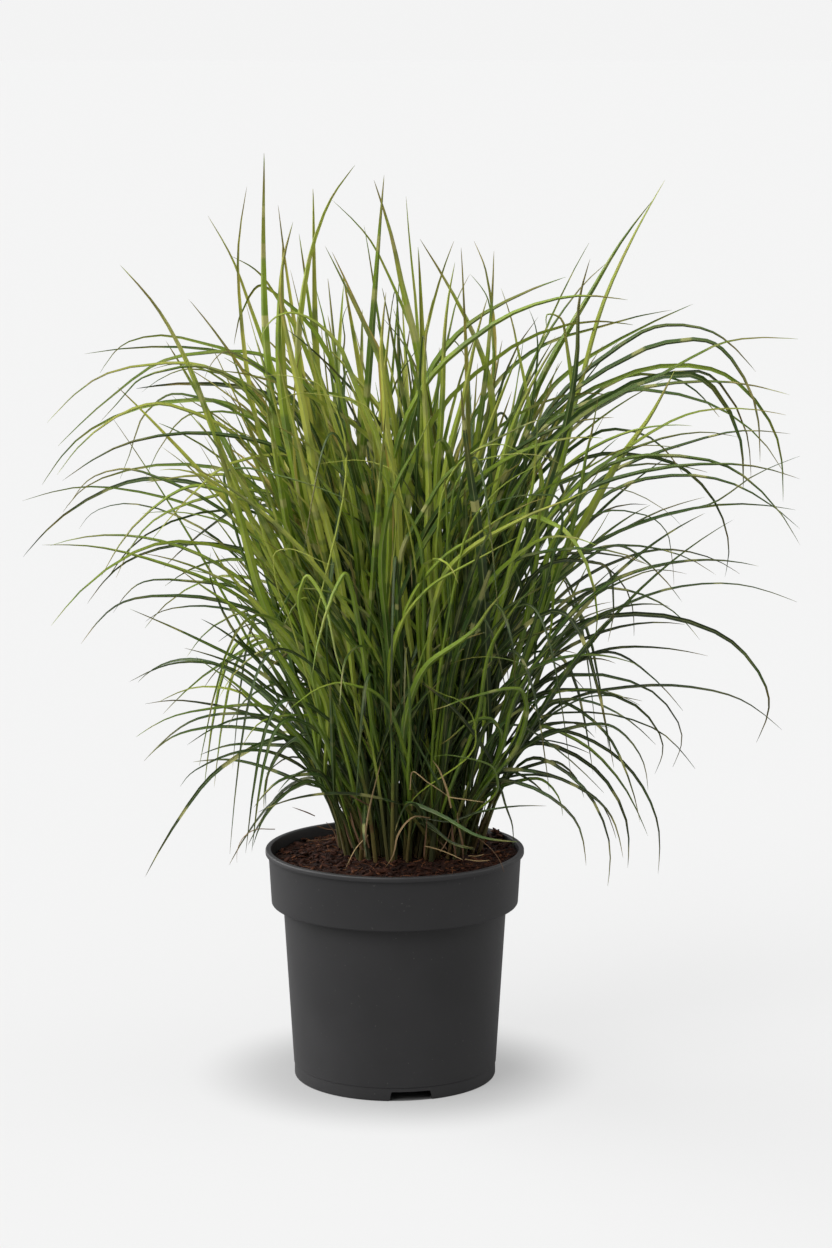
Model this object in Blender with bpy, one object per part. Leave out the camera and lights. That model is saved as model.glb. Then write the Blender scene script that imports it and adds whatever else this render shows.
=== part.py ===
"""A clump of banded ornamental grass in a dark plastic nursery pot.

Metres, +Z up. The origin is the middle of the pot's foot, on the ground; -Y is the front. The pot, the soil
and every shoot of the grass are objects of their own. A shoot is a stem that runs on into its longest leaf,
with its other leaves grown out of it.

The leaves that draw the clump's outline were traced by eye. Their points are pixels of a 832 x 1248
photograph, tip first, and seen() turns each one into a place in space at a chosen depth.
"""

import math
import random

import bmesh
import bpy
import numpy as np
from mathutils.bvhtree import BVHTree

GAP = 0.0003

# Pot
POT_HEIGHT = 0.216
POT_WALL = 0.0022
RIM_RADIUS = 0.1200
RIM_HEIGHT = 0.0045
COLLAR_TOP_RADIUS = 0.1172
COLLAR_FOOT_RADIUS = 0.1145
COLLAR_HEIGHT = 0.052
BODY_TOP_RADIUS = 0.1040
BODY_FOOT_RADIUS = 0.0940
STEP_RISE = 0.004
FOOT_BAND = 0.013
FOOT_BAND_STEP = 0.0006
FOOT_EDGE = 0.002
FLOOR_HEIGHT = 0.010
NOTCH_HEIGHT = 0.009
NOTCH_TOP_WIDTH = 0.036
NOTCH_FOOT_WIDTH = 0.041
NOTCH_COUNT = 3
FRONT_NOTCH_ANGLE = 9.4
POT_SIDES = 40

# Soil
SOIL_EDGE_Z = 0.2055
SOIL_CROWN_Z = 0.2110
SOIL_RIGHT_RISE = 0.0065
SOIL_RINGS = (1.0, 0.88, 0.76, 0.4)
SOIL_LUMP = 0.0012

# Crown, the patch of soil that the stems come out of
CROWN_X = 0.013
CROWN_Y = 0.010
CROWN_HALF_WIDTH = 0.066
CROWN_HALF_DEPTH = 0.054
CROWN_FLAT = 1.12
GOLDEN_ANGLE = math.radians(137.50776)

# Grass
STEM_WIDTH = 0.0058
STEM_DEPTH = 0.0048
STEM_SHARE = 0.34
BLADE_KEEL = 0.0015
TIP_WIDTH = 0.0006
AROUND_WIDTH = 0.0065
LEADER_RINGS = 8
SIDE_RINGS = 6
BEND_WEIGHT = 0.55
SIDE_LEAVES = 2
TRIES = 40
SHIFT = 0.005
SHIFTS = 24
HALF_SPAN_X = 0.358
HALF_SPAN_Y = 0.282
CLEARANCE = 0.0004
SEED = 7

# The photograph's camera
PHOTO_WIDTH = 832
PHOTO_HEIGHT = 1248
FOCAL_PIXELS = 3545.0
CAMERA_X = 0.0197
CAMERA_Y = -3.210
CAMERA_Z = 0.975
CAMERA_PITCH = math.radians(9.7)


def seen(u, v, depth):
    """The point in space at pixel (u, v) of the photograph, in the upright plane y = depth."""
    right = (u - PHOTO_WIDTH / 2) / FOCAL_PIXELS
    down = (v - PHOTO_HEIGHT / 2) / FOCAL_PIXELS
    sine, cosine = math.sin(CAMERA_PITCH), math.cos(CAMERA_PITCH)
    reach = (depth - CAMERA_Y) / (cosine - down * sine)
    return np.array([CAMERA_X + reach * right, depth, CAMERA_Z - reach * (sine + down * cosine)])


# Each shoot: its longest leaf first, then more of its leaves.
# A leaf is (width in mm, depth of its tip in mm, pixels from tip to root).
TRACED = {
    "tall_wide": [
        (9.0, -20, [(264, 153), (262, 240), (264, 330), (285, 500)]),
        (4.0, 30, [(247, 186), (238, 250), (242, 330)]),
    ],
    "top_left_tip": [
        (5.5, 70, [(208, 216), (232, 257), (252, 310)]),
        (5.5, 30, [(231, 256), (256, 270), (282, 305)]),
        (5.0, 100, [(278, 205), (285, 265), (294, 325)]),
    ],
    "left_high_wide": [(8.0, -60, [(120, 265), (157, 308), (187, 362), (214, 432)])],
    "left_high_front": [(5.5, -90, [(293, 222), (283, 262), (279, 310)])],
    "middle_curved": [
        (6.5, -20, [(355, 165), (330, 199), (314, 238), (299, 315)]),
        (5.0, -100, [(325, 246), (351, 298), (372, 342)]),
    ],
    "middle_thin": [(3.5, 120, [(332, 200), (370, 240), (392, 283), (408, 320)])],
    "middle_tall": [
        (7.0, -50, [(374, 180), (393, 240), (402, 283), (417, 345)]),
        (3.5, 60, [(406, 196), (410, 245), (416, 305)]),
    ],
    "top_right_short": [(6.0, -60, [(420, 239), (447, 282), (476, 338)])],
    "top_right_back": [
        (5.5, 110, [(454, 241), (443, 272), (424, 345)]),
        (5.5, 140, [(474, 241), (485, 266), (491, 295)]),
    ],
    "top_right_front": [(5.5, -90, [(494, 251), (493, 290), (490, 335)])],
    "right_olive": [(7.5, -30, [(652, 201), (620, 243), (592, 290), (548, 365)])],
    "right_tall": [
        (6.5, 40, [(665, 180), (632, 240), (605, 300), (578, 395)]),
        (4.0, 90, [(589, 243), (577, 265), (555, 310)]),
    ],
    "right_dark": [
        (6.5, -110, [(590, 259), (579, 300), (577, 350)]),
        (6.0, -60, [(547, 330), (548, 314), (559, 317), (567, 345)]),
    ],
    "right_arch_long": [
        (6.0, -120, [(628, 300), (575, 296), (520, 310), (458, 350)]),
        (6.0, -60, [(566, 277), (520, 295), (478, 318)]),
    ],
    "right_arch_y": [(6.5, 20, [(756, 372), (710, 331), (660, 326), (600, 360)])],
    "right_arch_z": [(6.5, -80, [(760, 462), (750, 390), (710, 342), (665, 343), (605, 370)])],
    "right_arch_far": [(6.0, -140, [(798, 339), (728, 342), (660, 376), (608, 400)])],
    "right_arch_b": [(6.0, -10, [(783, 502), (773, 428), (720, 372), (660, 366), (600, 385)])],
    "right_arch_c": [
        (6.0, -30, [(790, 395), (736, 383), (660, 385), (590, 402)]),
        (6.5, 90, [(693, 304), (635, 331), (580, 363)]),
    ],
    "right_bright": [(7.5, -100, [(675, 370), (652, 414), (619, 461), (590, 512)])],
    "right_arch_f": [
        (5.5, -150, [(786, 415), (743, 409), (699, 412), (622, 452)]),
        (5.0, -70, [(791, 434), (739, 431), (681, 445), (625, 465)]),
    ],
    "right_arch_h": [
        (5.5, -120, [(800, 479), (760, 467), (699, 464), (610, 480)]),
        (5.0, -60, [(800, 545), (776, 507), (731, 468), (654, 455)]),
    ],
    "right_arch_k": [(5.5, 10, [(725, 577), (729, 549), (714, 500), (678, 465), (620, 453)])],
    "right_low_o": [
        (5.5, -90, [(682, 602), (663, 578), (620, 546), (560, 580)]),
        (5.0, 40, [(740, 574), (715, 560), (659, 550), (608, 565)]),
    ],
    "right_long_thin": [(4.5, -120, [(797, 602), (740, 585), (675, 588), (600, 618)])],
    "right_big_droop": [(6.5, -60, [(756, 743), (769, 703), (738, 647), (680, 619), (600, 617)])],
    "right_low_y": [
        (5.5, 60, [(708, 656), (660, 648), (610, 649), (560, 668)]),
        (5.5, 20, [(683, 711), (656, 681), (620, 655)]),
    ],
    "right_long_low": [(5.0, -50, [(782, 730), (741, 700), (688, 687), (632, 687), (575, 698)])],
    "right_kink": [
        (5.5, -110, [(648, 790), (642, 760), (613, 727), (560, 731)]),
        (5.5, -150, [(608, 642), (614, 601), (606, 566), (580, 560)]),
    ],
    "right_lowest": [
        (5.0, -30, [(658, 874), (657, 821), (623, 762), (560, 730)]),
        (5.0, 30, [(648, 836), (618, 778), (583, 744), (530, 727)]),
    ],
    "right_foot": [
        (5.0, -90, [(623, 858), (609, 813), (561, 779), (490, 773)]),
        (4.0, -40, [(550, 799), (530, 780), (512, 771)]),
    ],
    "front_over_rim": [(6.0, -125, [(519, 842), (479, 837), (440, 816), (408, 804)])],
    "left_arch_high": [(5.0, 110, [(84, 354), (140, 347), (215, 350)])],
    "left_arch_a": [
        (6.0, 20, [(58, 446), (113, 396), (160, 363), (235, 352)]),
        (5.0, -40, [(47, 423), (100, 377), (175, 363)]),
    ],
    "left_arch_b": [
        (6.0, 90, [(42, 485), (80, 438), (140, 408), (200, 400)]),
        (5.5, -60, [(57, 475), (90, 436), (154, 404), (210, 420)]),
    ],
    "left_arch_c": [(5.5, -60, [(62, 481), (122, 445), (183, 433), (260, 441)])],
    "left_arch_far": [
        (6.5, 110, [(23, 557), (66, 514), (140, 480), (230, 494)]),
        (4.0, 100, [(22, 501), (80, 487), (155, 495), (215, 515)]),
    ],
    "left_arch_d": [
        (5.5, -80, [(101, 577), (140, 520), (195, 486), (245, 500)]),
        (5.5, -20, [(116, 578), (150, 524), (210, 497), (260, 491)]),
    ],
    "left_low_e": [
        (5.5, 40, [(87, 604), (120, 566), (200, 543), (262, 555)]),
        (5.0, -30, [(42, 545), (90, 546), (165, 564), (215, 583)]),
    ],
    "left_low_f": [
        (6.0, -70, [(81, 644), (118, 605), (180, 596), (262, 615)]),
        (5.5, -10, [(130, 609), (200, 640), (260, 672)]),
    ],
    "left_low_g": [
        (5.5, -30, [(129, 682), (175, 663), (220, 665), (275, 700)]),
        (5.5, 60, [(163, 714), (212, 670), (275, 640)]),
    ],
    "left_low_h": [
        (5.5, -90, [(144, 761), (195, 720), (260, 716)]),
        (5.5, 40, [(187, 745), (240, 718), (290, 723)]),
    ],
    "left_lowest": [
        (6.5, -60, [(145, 877), (176, 823), (218, 770), (288, 737)]),
        (5.0, 30, [(193, 762), (230, 760), (305, 783)]),
    ],
    "left_foot": [
        (5.0, -80, [(253, 846), (263, 819), (305, 781)]),
        (5.0, -20, [(264, 810), (268, 775), (292, 742)]),
    ],
}

# Shoots that lean towards the front and the back, where a view from the front shows only their tips.
# (direction in degrees from the right, counted towards the back; reach in mm; height of the arch in mm;
#  height of the tip in mm)
AROUND = {
    "front_low_right": (-58, 265, 470, 330),
    "front_mid_right": (-72, 250, 600, 470),
    "front_middle": (-93, 290, 520, 350),
    "front_mid_left": (-112, 240, 620, 520),
    "front_low_left": (-125, 270, 430, 260),
    "front_high": (-84, 175, 700, 660),
    "back_low_right": (48, 275, 450, 280),
    "back_mid_right": (64, 270, 600, 470),
    "back_middle": (88, 270, 540, 360),
    "back_mid_left": (108, 255, 640, 540),
    "back_low_left": (128, 285, 420, 240),
    "back_high": (96, 170, 720, 690),
}


def material(name, colour, roughness):
    made = bpy.data.materials.new(name)
    made.use_nodes = True
    shader = made.node_tree.nodes["Principled BSDF"]
    shader.inputs["Base Color"].default_value = (*colour, 1.0)
    shader.inputs["Roughness"].default_value = roughness
    shader.inputs["Metallic"].default_value = 0.0
    made.diffuse_color = (*colour, 1.0)
    return made


def mesh_object(name, points, faces, finish):
    """A closed mesh of these points and faces, as an object in the scene."""
    mesh = bpy.data.meshes.new(name)
    mesh.from_pydata([tuple(map(float, p)) for p in points], [], faces)
    mesh.materials.append(finish)
    made = bpy.data.objects.new(name, mesh)
    bpy.context.scene.collection.objects.link(made)
    return made


def turned(name, profile, finish):
    """The closed shape that a profile of (radius, height) points makes when it is turned round the Z axis.

    The profile starts and ends on the axis.
    """
    shape = bmesh.new()
    corners = [shape.verts.new((radius, 0.0, height)) for radius, height in profile]
    edges = [shape.edges.new(pair) for pair in zip(corners, corners[1:])]
    bmesh.ops.spin(
        shape, geom=corners + edges, cent=(0, 0, 0), axis=(0, 0, 1), angle=math.tau, steps=POT_SIDES,
        use_merge=True,
    )
    bmesh.ops.remove_doubles(shape, verts=shape.verts, dist=1e-6)
    bmesh.ops.recalc_face_normals(shape, faces=shape.faces)
    mesh = bpy.data.meshes.new(name)
    shape.to_mesh(mesh)
    shape.free()
    mesh.materials.append(finish)
    mesh.shade_smooth()
    mesh.set_sharp_from_angle(angle=math.radians(35))
    made = bpy.data.objects.new(name, mesh)
    bpy.context.scene.collection.objects.link(made)
    return made


def boolean(target, other, operation):
    """Joins or cuts with another object, which is then taken away."""
    step = target.modifiers.new(other.name, "BOOLEAN")
    step.operation = operation
    step.object = other
    bpy.context.view_layer.update()
    graph = bpy.context.evaluated_depsgraph_get()
    result = bpy.data.meshes.new_from_object(target.evaluated_get(graph))
    target.modifiers.clear()
    old = target.data
    target.data = result
    bpy.data.meshes.remove(old)
    bpy.data.objects.remove(other)


# Pot
COLLAR_FOOT_Z = POT_HEIGHT - COLLAR_HEIGHT


def inner_wall():
    """The pot's inner wall from the floor up to just under the lip, as (radius, height) points."""
    return [
        (BODY_FOOT_RADIUS + FOOT_BAND_STEP - POT_WALL, FLOOR_HEIGHT + POT_WALL),
        (BODY_TOP_RADIUS - POT_WALL, COLLAR_FOOT_Z + STEP_RISE),
        (COLLAR_FOOT_RADIUS - POT_WALL, COLLAR_FOOT_Z + STEP_RISE + POT_WALL),
        (COLLAR_TOP_RADIUS - POT_WALL, POT_HEIGHT - RIM_HEIGHT),
    ]


def pot(finish):
    foot = BODY_FOOT_RADIUS - POT_WALL
    outside = [
        (0.0, FLOOR_HEIGHT),
        (foot - FOOT_EDGE, FLOOR_HEIGHT),
        (foot - FOOT_EDGE, 0.0),
        (BODY_FOOT_RADIUS - FOOT_EDGE, 0.0),
        (BODY_FOOT_RADIUS, FOOT_EDGE),
        (BODY_FOOT_RADIUS, FOOT_BAND),
        (BODY_FOOT_RADIUS + FOOT_BAND_STEP, FOOT_BAND),
        (BODY_TOP_RADIUS, COLLAR_FOOT_Z + STEP_RISE),
        (COLLAR_FOOT_RADIUS - FOOT_EDGE, COLLAR_FOOT_Z),
        (COLLAR_FOOT_RADIUS, COLLAR_FOOT_Z + FOOT_EDGE),
        (COLLAR_TOP_RADIUS, POT_HEIGHT - RIM_HEIGHT),
        (RIM_RADIUS, POT_HEIGHT - RIM_HEIGHT),
        (RIM_RADIUS, POT_HEIGHT - RIM_HEIGHT / 3),
        (RIM_RADIUS - POT_WALL / 2, POT_HEIGHT),
        (COLLAR_TOP_RADIUS - POT_WALL, POT_HEIGHT),
    ]
    made = turned("pot", outside + inner_wall()[::-1] + [(0.0, FLOOR_HEIGHT + POT_WALL)], finish)
    for index in range(NOTCH_COUNT):
        angle = math.radians(FRONT_NOTCH_ANGLE - 90) + index * math.tau / NOTCH_COUNT
        boolean(made, notch(angle), "DIFFERENCE")
    return made


def notch(angle):
    """A cutter for one notch in the foot: a block that is wider at the ground."""
    out = np.array([math.cos(angle), math.sin(angle), 0.0])
    across = np.array([-math.sin(angle), math.cos(angle), 0.0])
    points = []
    for reach in (BODY_FOOT_RADIUS - 0.012, BODY_FOOT_RADIUS + 0.006):
        for half, height in (
            (-NOTCH_FOOT_WIDTH / 2, -0.002),
            (NOTCH_FOOT_WIDTH / 2, -0.002),
            (NOTCH_TOP_WIDTH / 2, NOTCH_HEIGHT),
            (-NOTCH_TOP_WIDTH / 2, NOTCH_HEIGHT),
        ):
            points.append(out * reach + across * half + np.array([0, 0, height]))
    faces = [(3, 2, 1, 0), (4, 5, 6, 7), (0, 1, 5, 4), (1, 2, 6, 5), (2, 3, 7, 6), (3, 0, 4, 7)]
    return mesh_object("notch", points, faces, None)


# Soil
def soil_height(x, y, lump=0.0):
    """The height of the soil's top: flat in the crown, lower towards the left, up to the rim at the right.

    The lump is a small height to add, which fades out towards the crown.
    """
    across = math.hypot((x - CROWN_X) / CROWN_HALF_WIDTH, (y - CROWN_Y) / CROWN_HALF_DEPTH)
    reach = min(1.0, max(0.0, (across - CROWN_FLAT) / 0.55))
    reach = reach * reach * (3 - 2 * reach)
    edge = SOIL_EDGE_Z + SOIL_RIGHT_RISE * max(0.0, math.cos(math.atan2(y, x) - math.radians(35)))
    return SOIL_CROWN_Z + (edge + lump - SOIL_CROWN_Z) * reach


def soil(finish, rng):
    wall = [(radius - 1.3 * GAP, height + 1.3 * GAP) for radius, height in inner_wall()]
    slope = (wall[3][0] - wall[2][0]) / (wall[3][1] - wall[2][1])
    top_radius = wall[2][0] + slope * (SOIL_EDGE_Z - SOIL_LUMP - wall[2][1])
    # Each ring keeps to the pot's own corners, so that the two stay the same distance apart.
    rings = [[radius, height] for radius, height in wall[:3]]
    rings += [[top_radius * share, None] for share in SOIL_RINGS]
    points = [(0.0, 0.0, wall[0][1])]
    for radius, level in rings:
        for side in range(POT_SIDES):
            turn = side * math.tau / POT_SIDES
            x, y = radius * math.cos(turn), radius * math.sin(turn)
            height = level
            if level is None:
                height = soil_height(x, y, rng.uniform(-SOIL_LUMP, SOIL_LUMP))
            points.append((x, y, height))
    points.append((0.0, 0.0, soil_height(0, 0)))
    starts = [1 + index * POT_SIDES for index in range(len(rings))]
    faces = []
    for near in range(POT_SIDES):
        far = (near + 1) % POT_SIDES
        faces.append((0, starts[0] + far, starts[0] + near))
        for low, high in zip(starts, starts[1:]):
            faces.append((low + near, low + far, high + far, high + near))
        faces.append((starts[-1] + near, starts[-1] + far, len(points) - 1))
    return mesh_object("soil", points, faces, finish)


# Grass: curves
def unit(vector):
    return vector / max(1e-9, float(np.linalg.norm(vector)))


def through(points, start_way, count=160):
    """A smooth curve through the points that sets out along start_way, as points evenly spaced along it."""
    points = np.asarray(points, float)
    lengths = np.linalg.norm(np.diff(points, axis=0), axis=1)
    slopes = np.diff(points, axis=0) / lengths[:, None]
    ways = [np.asarray(start_way, float)]
    for before, after, first, second in zip(lengths, lengths[1:], slopes, slopes[1:]):
        ways.append((first * after + second * before) / (before + after))
    ways.append(1.5 * slopes[-1] - 0.5 * ways[-1])
    curve = []
    for index, length in enumerate(lengths):
        share = np.linspace(0, 1, 40, endpoint=False)[:, None]
        square, cube = share**2, share**3
        curve.append(
            points[index] * (2 * cube - 3 * square + 1)
            + ways[index] * length * (cube - 2 * square + share)
            + points[index + 1] * (3 * square - 2 * cube)
            + ways[index + 1] * length * (cube - square)
        )
    curve = np.vstack([*curve, points[-1:]])
    along = np.concatenate([[0], np.cumsum(np.linalg.norm(np.diff(curve, axis=0), axis=1))])
    even = np.linspace(0, along[-1], count)
    return np.column_stack([np.interp(even, along, curve[:, axis]) for axis in range(3)])


def arching(start, turn, lean, droop, length, count=60):
    """A leaf that leans away from upright by lean at its start and by droop at its tip, bending as it goes."""
    share = (np.arange(count - 1) + 0.5) / (count - 1)
    angle = lean + (droop - lean) * share**1.4
    step = length / (count - 1)
    way = np.column_stack([np.sin(angle) * math.cos(turn), np.sin(angle) * math.sin(turn), np.cos(angle)])
    return np.vstack([start, start + np.cumsum(way * step, axis=0)])


def traced_path(root, root_way, pixels, tip_depth):
    """The curve from a root through the traced pixels, whose depth eases from the root's to the tip's."""
    flat = [seen(u, v, root[1]) for u, v in reversed(pixels)]
    gone = [float(np.linalg.norm(flat[0] - root))]
    for before, after in zip(flat, flat[1:]):
        gone.append(gone[-1] + float(np.linalg.norm(after - before)))
    points = [root]
    for (u, v), length in zip(reversed(pixels), gone):
        share = length / gone[-1]
        points.append(seen(u, v, root[1] + (tip_depth - root[1]) * share))
    first = unit(points[1] - points[0])
    return through(points, 0.55 * unit(root_way) + 0.45 * first)


# Grass: solids
def along(path, share):
    """The point and the direction at a share of the way along a path of even steps."""
    place = share * (len(path) - 1)
    index = min(len(path) - 2, int(place))
    part = place - index
    return path[index] * (1 - part) + path[index + 1] * part, unit(path[index + 1] - path[index])


def bend_stops(path, count):
    """Shares of the way along a path to put a blade's rings at: closer together where the path bends."""
    ways = np.diff(path, axis=0)
    ways /= np.linalg.norm(ways, axis=1)[:, None]
    bends = np.arccos(np.clip((ways[1:] * ways[:-1]).sum(axis=1), -1, 1))
    steps = 1.0 / len(ways) + BEND_WEIGHT * np.concatenate([[0.0], bends])
    gone = np.concatenate([[0.0], np.cumsum(steps)])
    shares = np.interp(np.linspace(0, gone[-1], count), gone, np.linspace(0, 1, len(gone)))
    return [float(share) for share in shares]


def on_stem(path, stops, share):
    """The same on the straight pieces that the leader's solid is made of, so that a leaf starts inside it."""
    above = next(stop for stop in stops if stop >= share)
    below = max(stop for stop in stops if stop < share)
    low, high = along(path, below)[0], along(path, above)[0]
    return low + (high - low) * (share - below) / (above - below), unit(high - low)


def ribbon(path, stops, sizes, twist, grow=0.0):
    """A blade along a path: three corners at each stop, two at its edges and one on the keel, and a point."""
    reach = path[-1] - path[0]
    aside = unit(np.array([-reach[1], reach[0], 0.0]) + np.array([0.0, 1e-6, 0.0]))
    points = []
    for stop in stops[:-1]:
        centre, way = along(path, stop)
        across = unit(aside - way * float(aside @ way))
        under = np.cross(way, across)
        turn = twist[0] + (twist[1] - twist[0]) * stop
        edge = across * math.cos(turn) + under * math.sin(turn)
        keel = under * math.cos(turn) - across * math.sin(turn)
        width, depth = sizes(stop)
        points.append(centre - edge * (width / 2 + grow) + keel * (depth * 0.35 + grow))
        points.append(centre + edge * (width / 2 + grow) + keel * (depth * 0.35 + grow))
        points.append(centre - keel * (depth * 0.65 + grow))
    points.append(path[-1] + unit(path[-1] - path[-2]) * grow)
    # A stem is cut level where it meets the soil.
    for corner in points[:3]:
        corner[2] = path[0][2]
    last = len(points) - 1
    faces = [(0, 2, 1)]
    for ring in range(len(stops) - 2):
        low, high = ring * 3, ring * 3 + 3
        for near, far in ((0, 1), (1, 2), (2, 0)):
            faces.append((low + near, low + far, high + far))
            faces.append((low + near, high + far, high + near))
    for near, far in ((0, 1), (1, 2), (2, 0)):
        faces.append((last - 3 + near, last - 3 + far, last))
    return np.array(points), faces


def blade_sizes(width):
    """Width and thickness along a leaf that grows out of a stem: narrow, then full, then a long taper."""
    def sizes(stop):
        grown = min(1.0, 0.55 + stop / 0.35 * 0.45)
        taper = 1 - max(0.0, (stop - 0.45) / 0.55) ** 1.7
        return max(TIP_WIDTH, width * grown * taper), BLADE_KEEL * (0.4 + 0.6 * taper)
    return sizes


def leader_sizes(width):
    """The same for a stem that runs on into its longest leaf."""
    def sizes(stop):
        if stop <= STEM_SHARE:
            thin = 1 - 0.3 * stop / STEM_SHARE
            return STEM_WIDTH * thin, STEM_DEPTH * thin
        share = (stop - STEM_SHARE) / (1 - STEM_SHARE)
        blade_width, blade_depth = blade_sizes(width)(0.15 + 0.85 * share)
        flatten = min(1.0, share / 0.25)
        return blade_width, STEM_DEPTH * 0.7 * (1 - flatten) + blade_depth * flatten
    return sizes


class Clump:
    """The leaves placed so far, so that no two shoots touch."""

    def __init__(self):
        self.trees = []

    def clear(self, points, faces, own):
        tree = BVHTree.FromPolygons([tuple(p) for p in points], faces)
        return not any(
            shoot != own and tree.overlap(other) for shoot, other in self.trees
        )

    def keep(self, points, faces, own):
        self.trees.append((own, BVHTree.FromPolygons([tuple(p) for p in points], faces)))


def crown_places(count):
    """Places for the stems in the crown, one step of the golden angle after another, from the middle out."""
    places = []
    for index in range(count):
        reach = math.sqrt((index + 0.5) / count)
        turn = index * GOLDEN_ANGLE
        x = CROWN_X + CROWN_HALF_WIDTH * reach * math.cos(turn)
        y = CROWN_Y + CROWN_HALF_DEPTH * reach * math.sin(turn)
        places.append(np.array([x, y, SOIL_CROWN_Z + 1.2 * GAP]))
    return places


def wished_place(tip):
    """Where in the crown a shoot with this tip belongs: far out if it leans far, near the middle if upright."""
    turn = math.atan2(tip[1] - CROWN_Y, tip[0] - CROWN_X)
    lean = math.atan2(math.hypot(tip[0] - CROWN_X, tip[1] - CROWN_Y), max(0.05, tip[2] - SOIL_CROWN_Z))
    reach = min(1.0, 0.15 + lean / math.radians(70))
    return np.array([
        CROWN_X + CROWN_HALF_WIDTH * reach * math.cos(turn),
        CROWN_Y + CROWN_HALF_DEPTH * reach * math.sin(turn),
        SOIL_CROWN_Z,
    ])


def around_path(root, turn, reach, top, end):
    """The curve of a shoot that leans towards the front or the back, from its direction and its heights."""
    out = np.array([math.cos(turn), math.sin(turn), 0.0])
    middle = np.array([CROWN_X, CROWN_Y, 0.0])
    points = [
        root,
        middle + out * reach * 0.38 + np.array([0, 0, root[2] + (top - root[2]) * 0.72]),
        middle + out * reach * 0.75 + np.array([0, 0, top]),
        middle + out * reach + np.array([0, 0, end]),
    ]
    return through(points, np.array([0, 0, 0.85]) + out * 0.15)


def leader_curve(root, leaves, around, shift):
    """The curve of a shoot's longest leaf, moved a little to the back or the front by shift."""
    if around:
        turn, reach, top, end = around
        return around_path(root, math.radians(turn) + shift * 4, reach / 1000, top / 1000, end / 1000)
    width, depth, pixels = leaves[0]
    upright = np.array([0.0, 0.0, 1.0]) + 1.6 * (root - np.array([CROWN_X, CROWN_Y, root[2]]))
    return traced_path(root, upright, pixels, depth / 1000 + shift)


def within_span(path):
    """True where a curve keeps inside the clump's whole width and depth."""
    return bool((np.abs(path[:, 0]) < HALF_SPAN_X).all() and (np.abs(path[:, 1]) < HALF_SPAN_Y).all())


class Shoot:
    """One shoot: its object, the curve of its stem and longest leaf, and how many more leaves it has."""

    def __init__(self, name, leaves, around):
        self.name = "shoot_" + name
        self.leaves = leaves
        self.around = around
        self.width = leaves[0][0] / 1000 if leaves else AROUND_WIDTH
        self.wished = wished_place(self.tip())
        self.path = None
        self.stops = None
        self.made = None
        self.count = 0

    def tip(self):
        if self.leaves:
            width, depth, pixels = self.leaves[0]
            return seen(*pixels[0], depth / 1000)
        turn, reach, top, end = self.around
        turn = math.radians(turn)
        return np.array([CROWN_X, CROWN_Y, 0]) + np.array([math.cos(turn) * reach, math.sin(turn) * reach, end]) / 1000

    def grow_leader(self, places, clump, finish, rng):
        """Takes a free place near the wished one, and a small shift, on which it touches no other shoot."""
        choices = []
        for rank, root in enumerate(places):
            for step in range(-SHIFTS, SHIFTS + 1):
                choices.append((abs(step) * SHIFT + rank * SHIFT / 2, step * SHIFT, rank, root))
        choices.sort(key=lambda choice: choice[:3])
        sizes = leader_sizes(self.width)
        for cost, shift, rank, root in choices:
            path = leader_curve(root, self.leaves, self.around, shift)
            twist = (rng.uniform(-0.5, 0.5), rng.uniform(-1.3, 1.3))
            stops = bend_stops(path, LEADER_RINGS)
            if within_span(path) and clump.clear(*ribbon(path, stops, sizes, twist, CLEARANCE), self.name):
                self.path, self.stops = path, stops
                points, faces = ribbon(path, stops, sizes, twist)
                clump.keep(points, faces, self.name)
                self.made = mesh_object(self.name, points, faces, finish)
                return root
        raise RuntimeError(f"no room for {self.name}")

    def grow_traced(self, clump, finish, rng):
        for wide, depth, pixels in self.leaves[1:]:
            for attempt in range(TRIES):
                start, way = on_stem(self.path, self.stops, rng.uniform(0.12, 0.30))
                shift = (attempt + 1) // 2 * (1 if attempt % 2 else -1) * SHIFT
                side = traced_path(start, way, pixels, depth / 1000 + shift)
                if within_span(side) and self.add_leaf(side, wide / 1000, clump, finish, rng):
                    break

    def grow_more(self, clump, finish, rng):
        lean_turn = math.atan2(*(self.path[-1] - self.path[0])[[1, 0]])
        for attempt in range(TRIES * 2):
            if self.count >= SIDE_LEAVES:
                break
            start, way = on_stem(self.path, self.stops, rng.uniform(0.10, 0.36))
            hand = 1 if attempt % 2 else -1
            turn = lean_turn + hand * rng.uniform(0.3, 1.5)
            lean = math.acos(max(-1.0, min(1.0, way[2]))) + rng.uniform(0.05, 0.3)
            droop = lean + rng.uniform(0.2, 1.5)
            side = arching(start, turn, lean, droop, rng.uniform(0.18, 0.36))
            if inside_outline(side) and within_span(side):
                self.add_leaf(side, rng.uniform(0.0045, 0.0065), clump, finish, rng)

    def add_leaf(self, path, width, clump, finish, rng):
        twist = (rng.uniform(-0.4, 0.4), rng.uniform(-1.2, 1.2))
        stops = bend_stops(path, SIDE_RINGS)
        if not clump.clear(*ribbon(path, stops, blade_sizes(width), twist, CLEARANCE), self.name):
            return False
        points, faces = ribbon(path, stops, blade_sizes(width), twist)
        clump.keep(points, faces, self.name)
        boolean(self.made, mesh_object("leaf", points, faces, finish), "UNION")
        self.count += 1
        return True


def inside_outline(path):
    """True where a leaf stays in the fountain shape of the clump and above the pot's rim."""
    across = np.hypot(path[:, 0] - CROWN_X, path[:, 1] - CROWN_Y)
    height = path[:, 2] - SOIL_CROWN_Z
    limit = 0.33 * np.clip(1.12 - ((height - 0.30) / 0.40) ** 2, 0.0, 1.0)
    return bool((across < np.maximum(limit, 0.085 + height * 0.55)).all() and (height[5:] > 0.015).all())


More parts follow.
